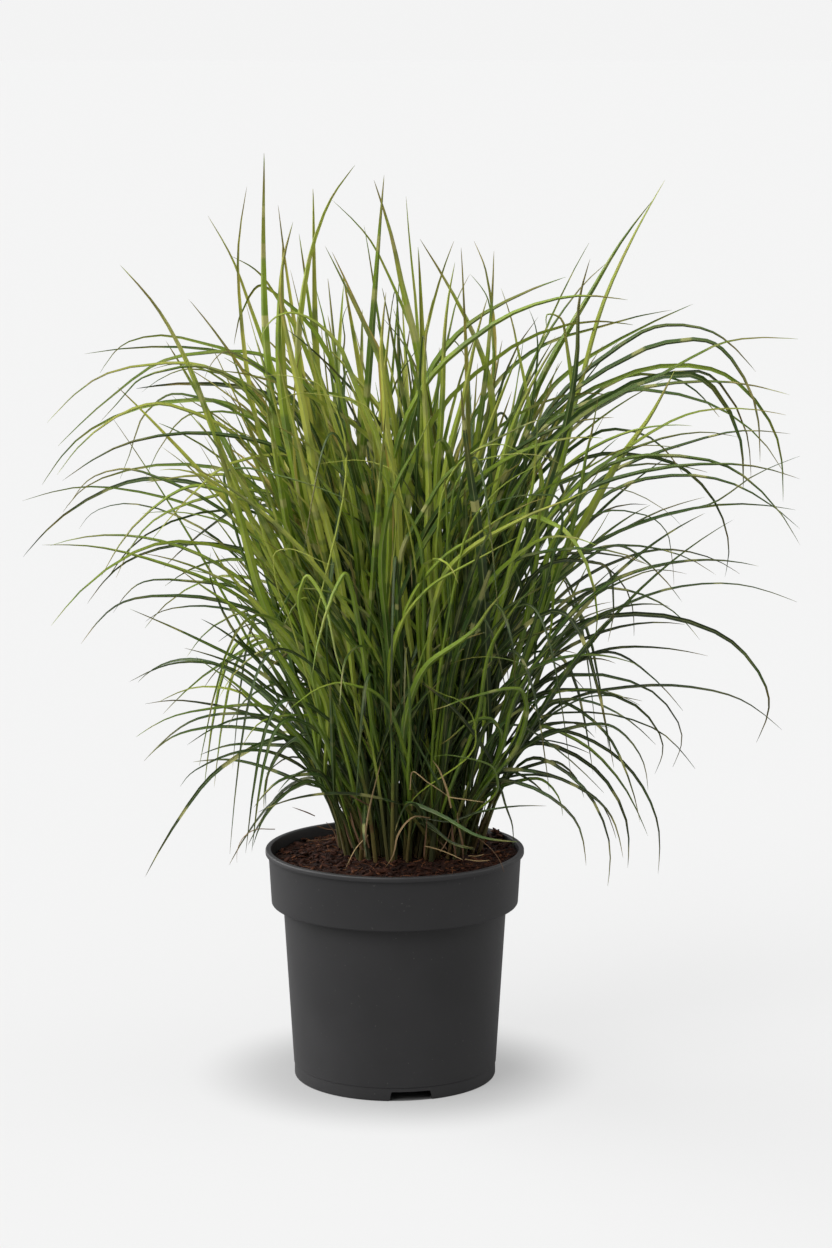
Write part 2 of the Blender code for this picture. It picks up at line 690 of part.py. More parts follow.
def grass(finishes, rng):
    shoots = [Shoot(name, leaves, None) for name, leaves in TRACED.items()]
    shoots += [Shoot(name, [], around) for name, around in AROUND.items()]
    # Those that belong furthest out choose first, so that no stem has to cross the clump.
    shoots.sort(key=lambda shoot: -float(np.hypot(*(shoot.wished[:2] - (CROWN_X, CROWN_Y)))))
    free = crown_places(len(shoots))
    clump = Clump()
    dressed = [(shoot, finishes[index % len(finishes)]) for index, shoot in enumerate(shoots)]
    for shoot, finish in dressed:
        free.sort(key=lambda place: float(np.hypot(*(place[:2] - shoot.wished[:2]))))
        root = shoot.grow_leader(free, clump, finish, rng)
        free = [place for place in free if place is not root]
    for shoot, finish in dressed:
        shoot.grow_traced(clump, finish, rng)
    for shoot, finish in dressed:
        shoot.grow_more(clump, finish, rng)


def main():
    for old in list(bpy.data.objects):
        bpy.data.objects.remove(old)
    pot(material("dark_plastic", (0.045, 0.045, 0.048), 0.55))
    soil(material("potting_mix", (0.022, 0.010, 0.006), 0.95), random.Random(SEED))
    greens = [
        material("leaf_green", (0.070, 0.150, 0.020), 0.5),
        material("leaf_light_green", (0.170, 0.270, 0.050), 0.5),
        material("leaf_dark_green", (0.030, 0.075, 0.020), 0.5),
    ]
    grass(greens, random.Random(SEED))


main()
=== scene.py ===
"""A clump of banded ornamental grass in a dark plastic nursery pot, dressed for its picture.

Metres, +Z up. The origin is the middle of the pot's foot, on the ground; -Y is the front. Each operator
builds one piece, or one group of like pieces, round the solids of the frame.

The leaves that draw the clump's outline were traced. Their points are pixels of a 832 x 1248
photograph, tip first, and seen() turns each one into a place in space at a chosen depth. The rules that
place the solids are repeated here with the same order of random draws, so every dressed shoot lies where
its solid lies. The leaves that the solids leave out grow round them.
"""

import math
import random

import bmesh
import bpy
import numpy as np
from bpy.props import FloatProperty, FloatVectorProperty, IntProperty, PointerProperty
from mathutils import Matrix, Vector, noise
from mathutils.bvhtree import BVHTree


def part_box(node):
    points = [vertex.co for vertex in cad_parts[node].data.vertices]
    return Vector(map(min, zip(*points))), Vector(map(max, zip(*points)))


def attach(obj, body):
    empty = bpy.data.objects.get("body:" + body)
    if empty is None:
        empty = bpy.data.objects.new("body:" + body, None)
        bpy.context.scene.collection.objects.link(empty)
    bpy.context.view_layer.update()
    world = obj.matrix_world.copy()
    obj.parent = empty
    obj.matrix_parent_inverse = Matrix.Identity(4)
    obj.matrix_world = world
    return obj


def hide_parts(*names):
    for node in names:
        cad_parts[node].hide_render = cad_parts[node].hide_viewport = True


bl_info = {
    "name": "Potted grass clump",
    "version": (1, 0, 0),
    "blender": (4, 5, 0),
    "location": "View3D > Sidebar > Grass",
    "description": "Builds a banded grass clump in a nursery pot, with its soil and a plain studio",
    "category": "Add Mesh",
}

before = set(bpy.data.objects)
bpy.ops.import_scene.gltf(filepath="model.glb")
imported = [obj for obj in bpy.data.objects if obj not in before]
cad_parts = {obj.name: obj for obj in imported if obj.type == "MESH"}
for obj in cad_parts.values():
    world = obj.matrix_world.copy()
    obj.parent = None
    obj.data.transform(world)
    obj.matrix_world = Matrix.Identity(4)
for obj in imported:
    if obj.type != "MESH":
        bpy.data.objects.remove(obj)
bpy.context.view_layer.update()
POT_LOW, POT_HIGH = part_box("pot")
ROOT = "root"

# Pot
POT_HEIGHT = POT_HIGH.z
RIM_RADIUS = POT_HIGH.x
POT_WALL = 0.0022
RIM_HEIGHT = 0.0045
COLLAR_TOP_RADIUS = 0.1172
COLLAR_FOOT_RADIUS = 0.1145
COLLAR_HEIGHT = 0.052
COLLAR_FOOT_Z = POT_HEIGHT - COLLAR_HEIGHT
BODY_TOP_RADIUS = 0.1040
BODY_FOOT_RADIUS = 0.0940
STEP_RISE = 0.004
FOOT_BAND = 0.013
FOOT_BAND_STEP = 0.0006
FOOT_EDGE = 0.002
FLOOR_HEIGHT = 0.010
NOTCH_HEIGHT = 0.009
NOTCH_TOP_WIDTH = 0.036
NOTCH_FOOT_WIDTH = 0.041
NOTCH_COUNT = 3
FRONT_NOTCH_ANGLE = 9.4
POT_SIDES = 160

# Soil
GAP = 0.0003
SOIL_EDGE_Z = 0.2055
SOIL_CROWN_Z = 0.2110
SOIL_RIGHT_RISE = 0.0065
SOIL_RINGS = 44
SOIL_LUMP = 0.0014
SOIL_SEED = 3

# Crown, the patch of soil that the stems come out of
CROWN_X = 0.013
CROWN_Y = 0.010
CROWN_HALF_WIDTH = 0.066
CROWN_HALF_DEPTH = 0.054
CROWN_FLAT = 1.12
GOLDEN_ANGLE = math.radians(137.50776)

# Grass, as the solids have it
STEM_WIDTH = 0.0058
STEM_DEPTH = 0.0048
STEM_SHARE = 0.34
BLADE_KEEL = 0.0015
TIP_WIDTH = 0.0006
AROUND_WIDTH = 0.0065
LEADER_RINGS = 8
SIDE_RINGS = 6
BEND_WEIGHT = 0.55
SIDE_LEAVES = 2
TRIES = 40
SHIFT = 0.005
SHIFTS = 24
HALF_SPAN_X = 0.358
HALF_SPAN_Y = 0.282
CLEARANCE = 0.0004
SEED = 7

# The photograph's camera
PHOTO_WIDTH = 832
PHOTO_HEIGHT = 1248
FOCAL_PIXELS = 3545.0
CAMERA_X = 0.0197
CAMERA_Y = -3.210
CAMERA_Z = 0.975
CAMERA_PITCH = math.radians(9.7)
SENSOR = 36.0


def seen(u, v, depth):
    """The point in space at pixel (u, v) of the photograph, in the upright plane y = depth."""
    right = (u - PHOTO_WIDTH / 2) / FOCAL_PIXELS
    down = (v - PHOTO_HEIGHT / 2) / FOCAL_PIXELS
    sine, cosine = math.sin(CAMERA_PITCH), math.cos(CAMERA_PITCH)
    reach = (depth - CAMERA_Y) / (cosine - down * sine)
    return np.array([CAMERA_X + reach * right, depth, CAMERA_Z - reach * (sine + down * cosine)])


# Each shoot as the solids have it: its longest leaf first, then more of its leaves.
# A leaf is (width in mm, depth of its tip in mm, pixels from tip to root).
TRACED = {
    "tall_wide": [
        (9.0, -20, [(264, 153), (262, 240), (264, 330), (285, 500)]),
        (4.0, 30, [(247, 186), (238, 250), (242, 330)]),
    ],
    "top_left_tip": [
        (5.5, 70, [(208, 216), (232, 257), (252, 310)]),
        (5.5, 30, [(231, 256), (256, 270), (282, 305)]),
        (5.0, 100, [(278, 205), (285, 265), (294, 325)]),
    ],
    "left_high_wide": [(8.0, -60, [(120, 265), (157, 308), (187, 362), (214, 432)])],
    "left_high_front": [(5.5, -90, [(293, 222), (283, 262), (279, 310)])],
    "middle_curved": [
        (6.5, -20, [(355, 165), (330, 199), (314, 238), (299, 315)]),
        (5.0, -100, [(325, 246), (351, 298), (372, 342)]),
    ],
    "middle_thin": [(3.5, 120, [(332, 200), (370, 240), (392, 283), (408, 320)])],
    "middle_tall": [
        (7.0, -50, [(374, 180), (393, 240), (402, 283), (417, 345)]),
        (3.5, 60, [(406, 196), (410, 245), (416, 305)]),
    ],
    "top_right_short": [(6.0, -60, [(420, 239), (447, 282), (476, 338)])],
    "top_right_back": [
        (5.5, 110, [(454, 241), (443, 272), (424, 345)]),
        (5.5, 140, [(474, 241), (485, 266), (491, 295)]),
    ],
    "top_right_front": [(5.5, -90, [(494, 251), (493, 290), (490, 335)])],
    "right_olive": [(7.5, -30, [(652, 201), (620, 243), (592, 290), (548, 365)])],
    "right_tall": [
        (6.5, 40, [(665, 180), (632, 240), (605, 300), (578, 395)]),
        (4.0, 90, [(589, 243), (577, 265), (555, 310)]),
    ],
    "right_dark": [
        (6.5, -110, [(590, 259), (579, 300), (577, 350)]),
        (6.0, -60, [(547, 330), (548, 314), (559, 317), (567, 345)]),
    ],
    "right_arch_long": [
        (6.0, -120, [(628, 300), (575, 296), (520, 310), (458, 350)]),
        (6.0, -60, [(566, 277), (520, 295), (478, 318)]),
    ],
    "right_arch_y": [(6.5, 20, [(756, 372), (710, 331), (660, 326), (600, 360)])],
    "right_arch_z": [(6.5, -80, [(760, 462), (750, 390), (710, 342), (665, 343), (605, 370)])],
    "right_arch_far": [(6.0, -140, [(798, 339), (728, 342), (660, 376), (608, 400)])],
    "right_arch_b": [(6.0, -10, [(783, 502), (773, 428), (720, 372), (660, 366), (600, 385)])],
    "right_arch_c": [
        (6.0, -30, [(790, 395), (736, 383), (660, 385), (590, 402)]),
        (6.5, 90, [(693, 304), (635, 331), (580, 363)]),
    ],
    "right_bright": [(7.5, -100, [(675, 370), (652, 414), (619, 461), (590, 512)])],
    "right_arch_f": [
        (5.5, -150, [(786, 415), (743, 409), (699, 412), (622, 452)]),
        (5.0, -70, [(791, 434), (739, 431), (681, 445), (625, 465)]),
    ],
    "right_arch_h": [
        (5.5, -120, [(800, 479), (760, 467), (699, 464), (610, 480)]),
        (5.0, -60, [(800, 545), (776, 507), (731, 468), (654, 455)]),
    ],
    "right_arch_k": [(5.5, 10, [(725, 577), (729, 549), (714, 500), (678, 465), (620, 453)])],
    "right_low_o": [
        (5.5, -90, [(682, 602), (663, 578), (620, 546), (560, 580)]),
        (5.0, 40, [(740, 574), (715, 560), (659, 550), (608, 565)]),
    ],
    "right_long_thin": [(4.5, -120, [(797, 602), (740, 585), (675, 588), (600, 618)])],
    "right_big_droop": [(6.5, -60, [(756, 743), (769, 703), (738, 647), (680, 619), (600, 617)])],
    "right_low_y": [
        (5.5, 60, [(708, 656), (660, 648), (610, 649), (560, 668)]),
        (5.5, 20, [(683, 711), (656, 681), (620, 655)]),
    ],
    "right_long_low": [(5.0, -50, [(782, 730), (741, 700), (688, 687), (632, 687), (575, 698)])],
    "right_kink": [
        (5.5, -110, [(648, 790), (642, 760), (613, 727), (560, 731)]),
        (5.5, -150, [(608, 642), (614, 601), (606, 566), (580, 560)]),
    ],
    "right_lowest": [
        (5.0, -30, [(658, 874), (657, 821), (623, 762), (560, 730)]),
        (5.0, 30, [(648, 836), (618, 778), (583, 744), (530, 727)]),
    ],
    "right_foot": [
        (5.0, -90, [(623, 858), (609, 813), (561, 779), (490, 773)]),
        (4.0, -40, [(550, 799), (530, 780), (512, 771)]),
    ],
    "front_over_rim": [(6.0, -125, [(519, 842), (479, 837), (440, 816), (408, 804)])],
    "left_arch_high": [(5.0, 110, [(84, 354), (140, 347), (215, 350)])],
    "left_arch_a": [
        (6.0, 20, [(58, 446), (113, 396), (160, 363), (235, 352)]),
        (5.0, -40, [(47, 423), (100, 377), (175, 363)]),
    ],
    "left_arch_b": [
        (6.0, 90, [(42, 485), (80, 438), (140, 408), (200, 400)]),
        (5.5, -60, [(57, 475), (90, 436), (154, 404), (210, 420)]),
    ],
    "left_arch_c": [(5.5, -60, [(62, 481), (122, 445), (183, 433), (260, 441)])],
    "left_arch_far": [
        (6.5, 110, [(23, 557), (66, 514), (140, 480), (230, 494)]),
        (4.0, 100, [(22, 501), (80, 487), (155, 495), (215, 515)]),
    ],
    "left_arch_d": [
        (5.5, -80, [(101, 577), (140, 520), (195, 486), (245, 500)]),
        (5.5, -20, [(116, 578), (150, 524), (210, 497), (260, 491)]),
    ],
    "left_low_e": [
        (5.5, 40, [(87, 604), (120, 566), (200, 543), (262, 555)]),
        (5.0, -30, [(42, 545), (90, 546), (165, 564), (215, 583)]),
    ],
    "left_low_f": [
        (6.0, -70, [(81, 644), (118, 605), (180, 596), (262, 615)]),
        (5.5, -10, [(130, 609), (200, 640), (260, 672)]),
    ],
    "left_low_g": [
        (5.5, -30, [(129, 682), (175, 663), (220, 665), (275, 700)]),
        (5.5, 60, [(163, 714), (212, 670), (275, 640)]),
    ],
    "left_low_h": [
        (5.5, -90, [(144, 761), (195, 720), (260, 716)]),
        (5.5, 40, [(187, 745), (240, 718), (290, 723)]),
    ],
    "left_lowest": [
        (6.5, -60, [(145, 877), (176, 823), (218, 770), (288, 737)]),
        (5.0, 30, [(193, 762), (230, 760), (305, 783)]),
    ],
    "left_foot": [
        (5.0, -80, [(253, 846), (263, 819), (305, 781)]),
        (5.0, -20, [(264, 810), (268, 775), (292, 742)]),
    ],
}

# Shoots that lean towards the front and the back, where a view from the front shows only their tips.
# (direction in degrees from the right, counted towards the back; reach in mm; height of the arch in mm;
#  height of the tip in mm)
AROUND = {
    "front_low_right": (-58, 265, 470, 330),
    "front_mid_right": (-72, 250, 600, 470),
    "front_middle": (-93, 290, 520, 350),
    "front_mid_left": (-112, 240, 620, 520),
    "front_low_left": (-125, 270, 430, 260),
    "front_high": (-84, 175, 700, 660),
    "back_low_right": (48, 275, 450, 280),
    "back_mid_right": (64, 270, 600, 470),
    "back_middle": (88, 270, 540, 360),
    "back_mid_left": (108, 255, 640, 540),
    "back_low_left": (128, 285, 420, 240),
    "back_high": (96, 170, 720, 690),
}


# More leaves of each shoot, which the solids leave out: (width in mm, depth of the tip in mm, shade from
# 0, dark, to 1, yellow-green, pixels from tip to root).
FINE_LEAVES = {
    "tall_wide": [
        (5.5, 40, 0.55, [(272, 406), (300, 393), (350, 400), (372, 415)]),
    ],
    "top_left_tip": [
        (5.0, 60, 0.60, [(234, 345), (243, 308), (260, 285), (284, 300)]),
    ],
    "middle_thin": [(3.5, 60, 0.45, [(364, 225), (371, 265), (376, 300)])],
    "top_right_back": [
        (4.0, 60, 0.4, [(470, 274), (457, 301), (450, 330)]),
        (4.0, 60, 0.4, [(470, 274), (487, 297), (492, 330)]),
    ],
    "right_tall": [(4.0, 20, 0.3, [(609, 261), (585, 283), (560, 315)])],
    "right_arch_long": [(5.5, 50, 0.35, [(672, 310), (640, 316), (600, 327), (560, 338)])],
    "right_arch_b": [(5.5, -60, 0.35, [(785, 475), (760, 439), (720, 409), (640, 390)])],
    "right_arch_f": [(5.0, -100, 0.3, [(738, 437), (705, 432), (675, 435), (636, 447)])],
    "right_arch_h": [
        (5.0, -40, 0.15, [(705, 497), (660, 511), (620, 531), (600, 540)]),
        (4.0, -90, 0.2, [(800, 456), (752, 477), (716, 502), (660, 517), (590, 545)]),
    ],
    "right_arch_k": [
        (5.0, -30, 0.3, [(800, 529), (767, 502), (731, 483), (700, 476), (650, 478)]),
        (5.0, 60, 0.35, [(796, 510), (740, 504), (690, 509), (590, 547)]),
    ],
    "right_low_o": [
        (4.5, -60, 0.2, [(716, 575), (690, 559), (660, 549), (620, 545)]),
        (3.5, 10, 0.3, [(674, 585), (672, 560), (665, 530), (655, 520), (630, 512)]),
        (4.5, 60, 0.35, [(687, 574), (655, 570), (620, 582)]),
    ],
    "right_big_droop": [(5.0, -20, 0.3, [(700, 640), (675, 613), (625, 590), (600, 588)])],
    "right_kink": [(5.0, -130, 0.15, [(619, 606), (600, 611), (579, 620), (560, 636)])],
    "right_long_low": [
        (5.0, -90, 0.15, [(656, 745), (625, 718), (590, 702), (560, 700)]),
        (4.5, 0, 0.35, [(642, 701), (608, 696), (590, 697), (560, 710)]),
    ],
    "right_lowest": [(4.5, -70, 0.3, [(640, 822), (630, 782), (603, 730), (560, 702)])],
    "right_foot": [
        (4.0, -110, 0.2, [(604, 793), (562, 754), (519, 726)]),
        (3.0, -60, 0.3, [(513, 847), (512, 824), (506, 807), (498, 785)]),
    ],
    "front_over_rim": [(3.0, -90, 0.35, [(547, 806), (518, 806), (480, 812), (450, 822)])],
    "left_arch_high": [(5.5, 60, 0.45, [(100, 373), (125, 344), (155, 336), (202, 343), (232, 352)])],
    "left_arch_a": [
        (5.0, -70, 0.35, [(100, 422), (121, 399), (137, 381), (175, 368)]),
        (5.0, 70, 0.45, [(150, 370), (180, 364), (205, 370), (240, 395)]),
        (4.5, -10, 0.4, [(142, 392), (155, 382), (185, 369), (215, 372)]),
        (4.0, -90, 0.05, [(204, 381), (209, 368), (225, 352), (245, 360)]),
    ],
    "left_arch_b": [
        (5.0, 20, 0.3, [(120, 479), (129, 457), (146, 413), (170, 395), (200, 398)]),
        (5.0, -20, 0.35, [(146, 477), (159, 450), (190, 415), (215, 412)]),
    ],
    "left_arch_c": [
        (5.0, -20, 0.3, [(69, 505), (90, 479), (122, 469), (169, 482)]),
        (5.5, 40, 0.4, [(63, 512), (80, 492), (140, 468), (215, 468)]),
    ],
    "left_arch_far": [(3.5, 60, 0.25, [(79, 529), (90, 515), (120, 504), (155, 508), (190, 522)])],
    "left_low_e": [
        (5.0, 0, 0.35, [(113, 613), (135, 586), (200, 582), (232, 586)]),
        (4.0, -80, 0.2, [(211, 552), (209, 569), (217, 598), (240, 640)]),
    ],
    "left_low_f": [
        (5.0, 30, 0.3, [(145, 622), (158, 613), (190, 606), (240, 612)]),
        (4.5, -100, 0.3, [(184, 648), (210, 655), (240, 667), (270, 690)]),
    ],
    "left_low_g": [
        (5.0, 20, 0.1, [(145, 704), (175, 700), (205, 703), (262, 719)]),
        (5.5, -70, 0.7, [(136, 737), (165, 720), (220, 708), (260, 706), (290, 717)]),
    ],
    "left_low_h": [
        (5.5, -40, 0.55, [(144, 761), (175, 736), (205, 728), (245, 728), (280, 735)]),
        (5.0, 10, 0.45, [(200, 755), (230, 745), (270, 745), (290, 746)]),
    ],
    "left_lowest": [(4.5, -90, 0.3, [(180, 787), (188, 776), (208, 763), (250, 750)])],
    "left_foot": [
        (4.5, -50, 0.25, [(266, 808), (268, 775), (280, 750), (300, 735)]),
        (4.0, -95, 0.35, [(278, 792), (293, 776), (310, 770)]),
    ],
}

# Leaves in front of the clump, which grow from the shoot whose foot is nearest: (width in mm, depth of the
# tip in mm, shade, strength of the cross bands, pixels from tip to root).
NEAR_LEAVES = [
    (6.0, -125, 0.66, 0.1, [
        (312, 677), (316, 652), (321, 630), (328, 608), (337, 586), (345, 574), (351, 588), (358, 622), (366, 670), (371, 715),
    ]),
    (5.0, -120, 0.66, 0.1, [
        (348, 695), (341, 672), (335, 650), (331, 628), (327, 608), (318, 588), (307, 576), (300, 590), (306, 640),
    ]),
    (4.2, -130, 0.70, 0.0, [
        (287, 711), (300, 701), (312, 692), (325, 686), (340, 683), (355, 686), (370, 690), (385, 702), (398, 730),
    ]),
    (8.0, -125, 0.62, 0.0, [
        (508, 588), (490, 608), (475, 630), (460, 642), (445, 652), (430, 663), (420, 677), (412, 696), (406, 718), (403, 745),
    ]),
    (5.5, -115, 0.55, 0.5, [
        (430, 711), (447, 706), (462, 700), (477, 696), (492, 692), (508, 689), (520, 690), (526, 704), (520, 740),
    ]),
    (2.0, -118, 0.85, 0.0, [(420, 679), (430, 687), (442, 694), (458, 700), (470, 712), (476, 740)]),
    (3.5, -110, 0.30, 0.0, [(409, 716), (413, 735), (421, 751), (431, 770), (440, 790)]),
    (4.5, -100, 0.62, 0.0, [
        (545, 570), (530, 590), (518, 603), (505, 622), (494, 640), (488, 656), (484, 675), (481, 700),
    ]),
    (6.0, -95, 0.66, 0.2, [
        (538, 415), (536, 455), (533, 485), (527, 512), (520, 538), (513, 560), (507, 585), (499, 612), (493, 636),
        (489, 665), (486, 700),
    ]),
    (5.0, -95, 0.50, 0.0, [(560, 638), (545, 652), (533, 666), (524, 682), (515, 698), (509, 716), (504, 742)]),
    (2.2, -115, 0.65, 0.0, [(450, 664), (470, 658), (490, 657), (510, 660), (527, 668), (528, 690), (518, 730)]),
    (4.5, -105, 0.72, 0.0, [
        (548, 497), (530, 503), (510, 513), (490, 525), (470, 540), (450, 552), (432, 569), (416, 590), (402, 620),
        (393, 643), (388, 670),
    ]),
    (4.5, -115, 0.76, 0.0, [
        (520, 536), (503, 545), (485, 555), (470, 563), (450, 574), (435, 583), (420, 597), (405, 617), (396, 640), (390, 672),
    ]),
    (6.2, -120, 0.86, 0.0, [
        (590, 490), (560, 503), (530, 515), (505, 528), (485, 539), (465, 553), (447, 572), (436, 600), (430, 640),
    ]),
    (5.5, -90, 0.34, 0.9, [
        (552, 416), (530, 423), (505, 435), (480, 449), (458, 465), (440, 484), (427, 506), (416, 524), (404, 546), (399, 580),
        (398, 630),
    ]),
    (7.5, -100, 0.46, 0.0, [
        (432, 415), (420, 440), (410, 459), (400, 477), (392, 497), (386, 522), (382, 550), (382, 580), (386, 620), (390, 670),
    ]),
    (5.0, -105, 0.52, 0.0, [
        (368, 455), (383, 475), (393, 490), (402, 505), (413, 523), (420, 542), (423, 566), (424, 600), (424, 650),
    ]),
    (3.2, -112, 0.70, 0.0, [
        (538, 463), (529, 458), (518, 451), (505, 445), (490, 445), (475, 451), (457, 466), (444, 490), (438, 530),
    ]),
    (2.8, -112, 0.55, 0.0, [(568, 468), (550, 459), (535, 455), (520, 454), (503, 455), (490, 458), (473, 463), (458, 480), (450, 520)]),
    (3.4, -110, 0.66, 0.0, [(549, 460), (530, 469), (515, 477), (500, 488), (490, 498), (478, 512), (466, 535), (458, 570)]),
    (3.4, -118, 0.22, 0.0, [
        (465, 519), (475, 513), (490, 505), (505, 499), (520, 496), (540, 495), (556, 497), (562, 515), (552, 560),
    ]),
    (6.5, -70, 0.56, 0.1, [(556, 455), (548, 480), (541, 505), (537, 530), (537, 555), (533, 580), (529, 605), (520, 645)]),
    (8.0, -60, 0.60, 0.0, [(600, 470), (585, 492), (570, 515), (556, 537), (547, 557), (545, 585), (536, 625), (524, 660)]),
    (6.5, -70, 0.45, 0.0, [(598, 398), (592, 430), (586, 455), (582, 480), (577, 505), (570, 535), (558, 570), (546, 605)]),
    (2.5, -60, 0.20, 0.0, [(683, 528), (672, 516), (660, 507), (645, 498), (628, 491), (610, 488), (590, 492), (570, 520)]),
    (5.0, 10, 0.72, 0.2, [(501, 288), (508, 308), (513, 325), (518, 350), (524, 378), (530, 412)]),
    (5.0, -20, 0.22, 0.0, [(538, 317), (531, 327), (520, 342), (511, 360), (503, 380), (497, 402), (490, 440)]),
    (5.0, 0, 0.25, 0.0, [(529, 309), (536, 328), (538, 350), (536, 375), (533, 402), (526, 450)]),
    (5.0, 20, 0.25, 0.0, [(349, 303), (343, 318), (345, 338), (343, 356), (345, 375), (343, 400), (344, 440)]),
    (7.0, -60, 0.78, 0.5, [(433, 298), (428, 322), (425, 350), (424, 385), (426, 420), (428, 460), (429, 490), (427, 530)]),
    (6.5, -70, 0.66, 0.3, [
        (260, 341), (267, 326), (278, 316), (292, 313), (310, 319), (327, 332), (340, 348), (350, 372), (361, 400), (374, 430),
    ]),
    (2.0, -95, 0.95, 0.0, [(302, 472), (315, 465), (335, 462), (355, 460), (375, 463), (393, 471), (402, 500)]),
    (2.0, -105, 0.95, 0.0, [(337, 565), (328, 564), (318, 560), (303, 553), (290, 549), (276, 552), (275, 575), (290, 620)]),
    (2.8, -85, 0.35, 0.0, [
        (376, 524), (360, 511), (345, 499), (322, 489), (300, 481), (270, 474), (245, 468), (226, 472), (228, 500), (245, 560),
    ]),
    (2.0, -100, 0.90, 0.0, [(270, 407), (283, 398), (298, 393), (315, 394), (332, 396), (350, 399), (368, 408), (380, 430)]),
    (2.0, -80, 0.85, 0.0, [(228, 382), (245, 379), (262, 376), (280, 375), (300, 378), (318, 384), (330, 400)]),
    (5.5, -70, 0.55, 0.0, [(312, 585), (330, 617), (345, 636), (357, 652), (365, 675), (371, 705), (373, 742)]),
    (4.0, -90, 0.42, 0.0, [(350, 576), (362, 597), (372, 614), (380, 634), (384, 655), (386, 692)]),
    (2.6, -110, 0.66, 0.0, [(452, 592), (441, 612), (431, 633), (423, 653), (416, 676), (409, 702)]),
    (5.0, -80, 0.60, 0.0, [(196, 657), (213, 669), (230, 680), (248, 695), (265, 710), (285, 723), (305, 745)]),
    (6.0, -60, 0.50, 0.0, [(440, 745), (452, 737), (463, 727), (476, 720), (490, 719), (500, 730), (498, 760)]),
    (3.0, -105, 0.70, 0.0, [(432, 757), (446, 755), (460, 757), (475, 760), (492, 767), (498, 785)]),
    (9.5, -80, 0.68, 0.2, [(204, 405), (214, 434), (226, 470), (237, 505), (247, 545), (262, 598), (278, 634), (297, 660), (315, 685)]),
    (5.0, -100, 0.55, 0.0, [(268, 640), (283, 668), (296, 690), (310, 714), (326, 742), (340, 775)]),
    (4.0, -110, 0.68, 0.0, [(323, 668), (330, 692), (336, 716), (342, 742), (349, 768), (356, 800)]),
    (4.0, -100, 0.60, 0.0, [(404, 640), (408, 672), (410, 705), (410, 740), (408, 780)]),
    (8.5, -50, 0.92, 0.2, [
        (284, 250), (281, 300), (288, 340), (300, 392), (309, 440), (314, 478), (324, 515), (335, 555), (345, 610),
    ]),
    (7.0, -40, 1.50, 0.0, [(332, 252), (343, 275), (353, 297), (367, 328), (378, 350), (382, 383), (386, 430), (392, 480)]),
    (8.5, -45, 0.95, 0.3, [(386, 292), (383, 320), (381, 350), (384, 390), (386, 424), (392, 460), (397, 500), (400, 560)]),
    (8.0, -70, 0.84, 0.0, [(211, 545), (221, 563), (241, 588), (263, 613), (286, 636), (306, 664), (325, 700)]),
    (7.0, -60, 0.86, 0.0, [(240, 470), (256, 508), (268, 545), (280, 571), (297, 598), (315, 640), (330, 690)]),
    (6.0, -75, 0.70, 0.0, [(178, 568), (205, 588), (232, 606), (258, 630), (282, 660), (305, 700)]),
    (7.5, -30, 0.80, 0.4, [(302, 330), (318, 372), (330, 410), (343, 452), (352, 500), (360, 560)]),
    (7.5, -55, 0.74, 0.2, [(488, 296), (478, 330), (470, 366), (463, 400), (452, 440), (444, 480), (436, 540)]),
    (7.0, -50, 0.70, 0.0, [(455, 262), (448, 300), (444, 340), (443, 380), (441, 420), (437, 470)]),
    (6.5, -60, 0.62, 0.2, [(566, 330), (548, 356), (531, 386), (515, 420), (503, 458), (492, 505), (480, 560)]),
]

# The broad banded leaf in the middle, with its bands' distances from the tip in metres
BANDED_LEAF = (10.5, -118, 0.08, [(461, 385), (465, 430), (470, 470), (476, 510), (481, 550), (485, 600), (486, 650)])
BANDED_LEAF_MARKS = (0.040, 0.123)

# Shades of some shoots that stand out, from 0, dark, to 1, yellow-green
SHADES = {
    "tall_wide": 0.50,
    "left_high_wide": 0.80,
    "middle_curved": 0.72,
    "middle_tall": 0.60,
    "top_right_short": 0.72,
    "right_olive": 0.42,
    "right_tall": 0.74,
    "right_dark": 0.12,
    "right_bright": 0.80,
    "right_arch_k": 0.12,
    "right_low_o": 0.12,
    "right_kink": 0.20,
    "right_lowest": 0.14,
    "left_arch_c": 0.15,
    "left_arch_far": 0.12,
    "left_low_e": 0.18,
    "left_low_f": 0.16,
    "left_low_g": 0.18,
    "left_low_h": 0.20,
    "left_lowest": 0.30,
    "front_over_rim": 0.46,
}

# Shoots whose longest leaf has strong cross bands
BANDS = {"tall_wide": 0.3, "left_high_wide": 0.7, "middle_curved": 0.8, "middle_tall": 0.9, "top_right_short": 0.8}

# The places of bands that show clearly, in metres from the tip
MARKS = {"tall_wide": (0.052, 0.086, 0.150), "left_high_front": (0.305,)}

# Widths in mm of leaves that look broader than their solids, and shades of side leaves that stand out
WIDTHS = {"left_high_front": 8.5, "tall_wide": 9.5, "right_bright": 9.5}
SIDE_SHADES = {("middle_curved", 0): 0.8, ("top_right_back", 0): 1.3}

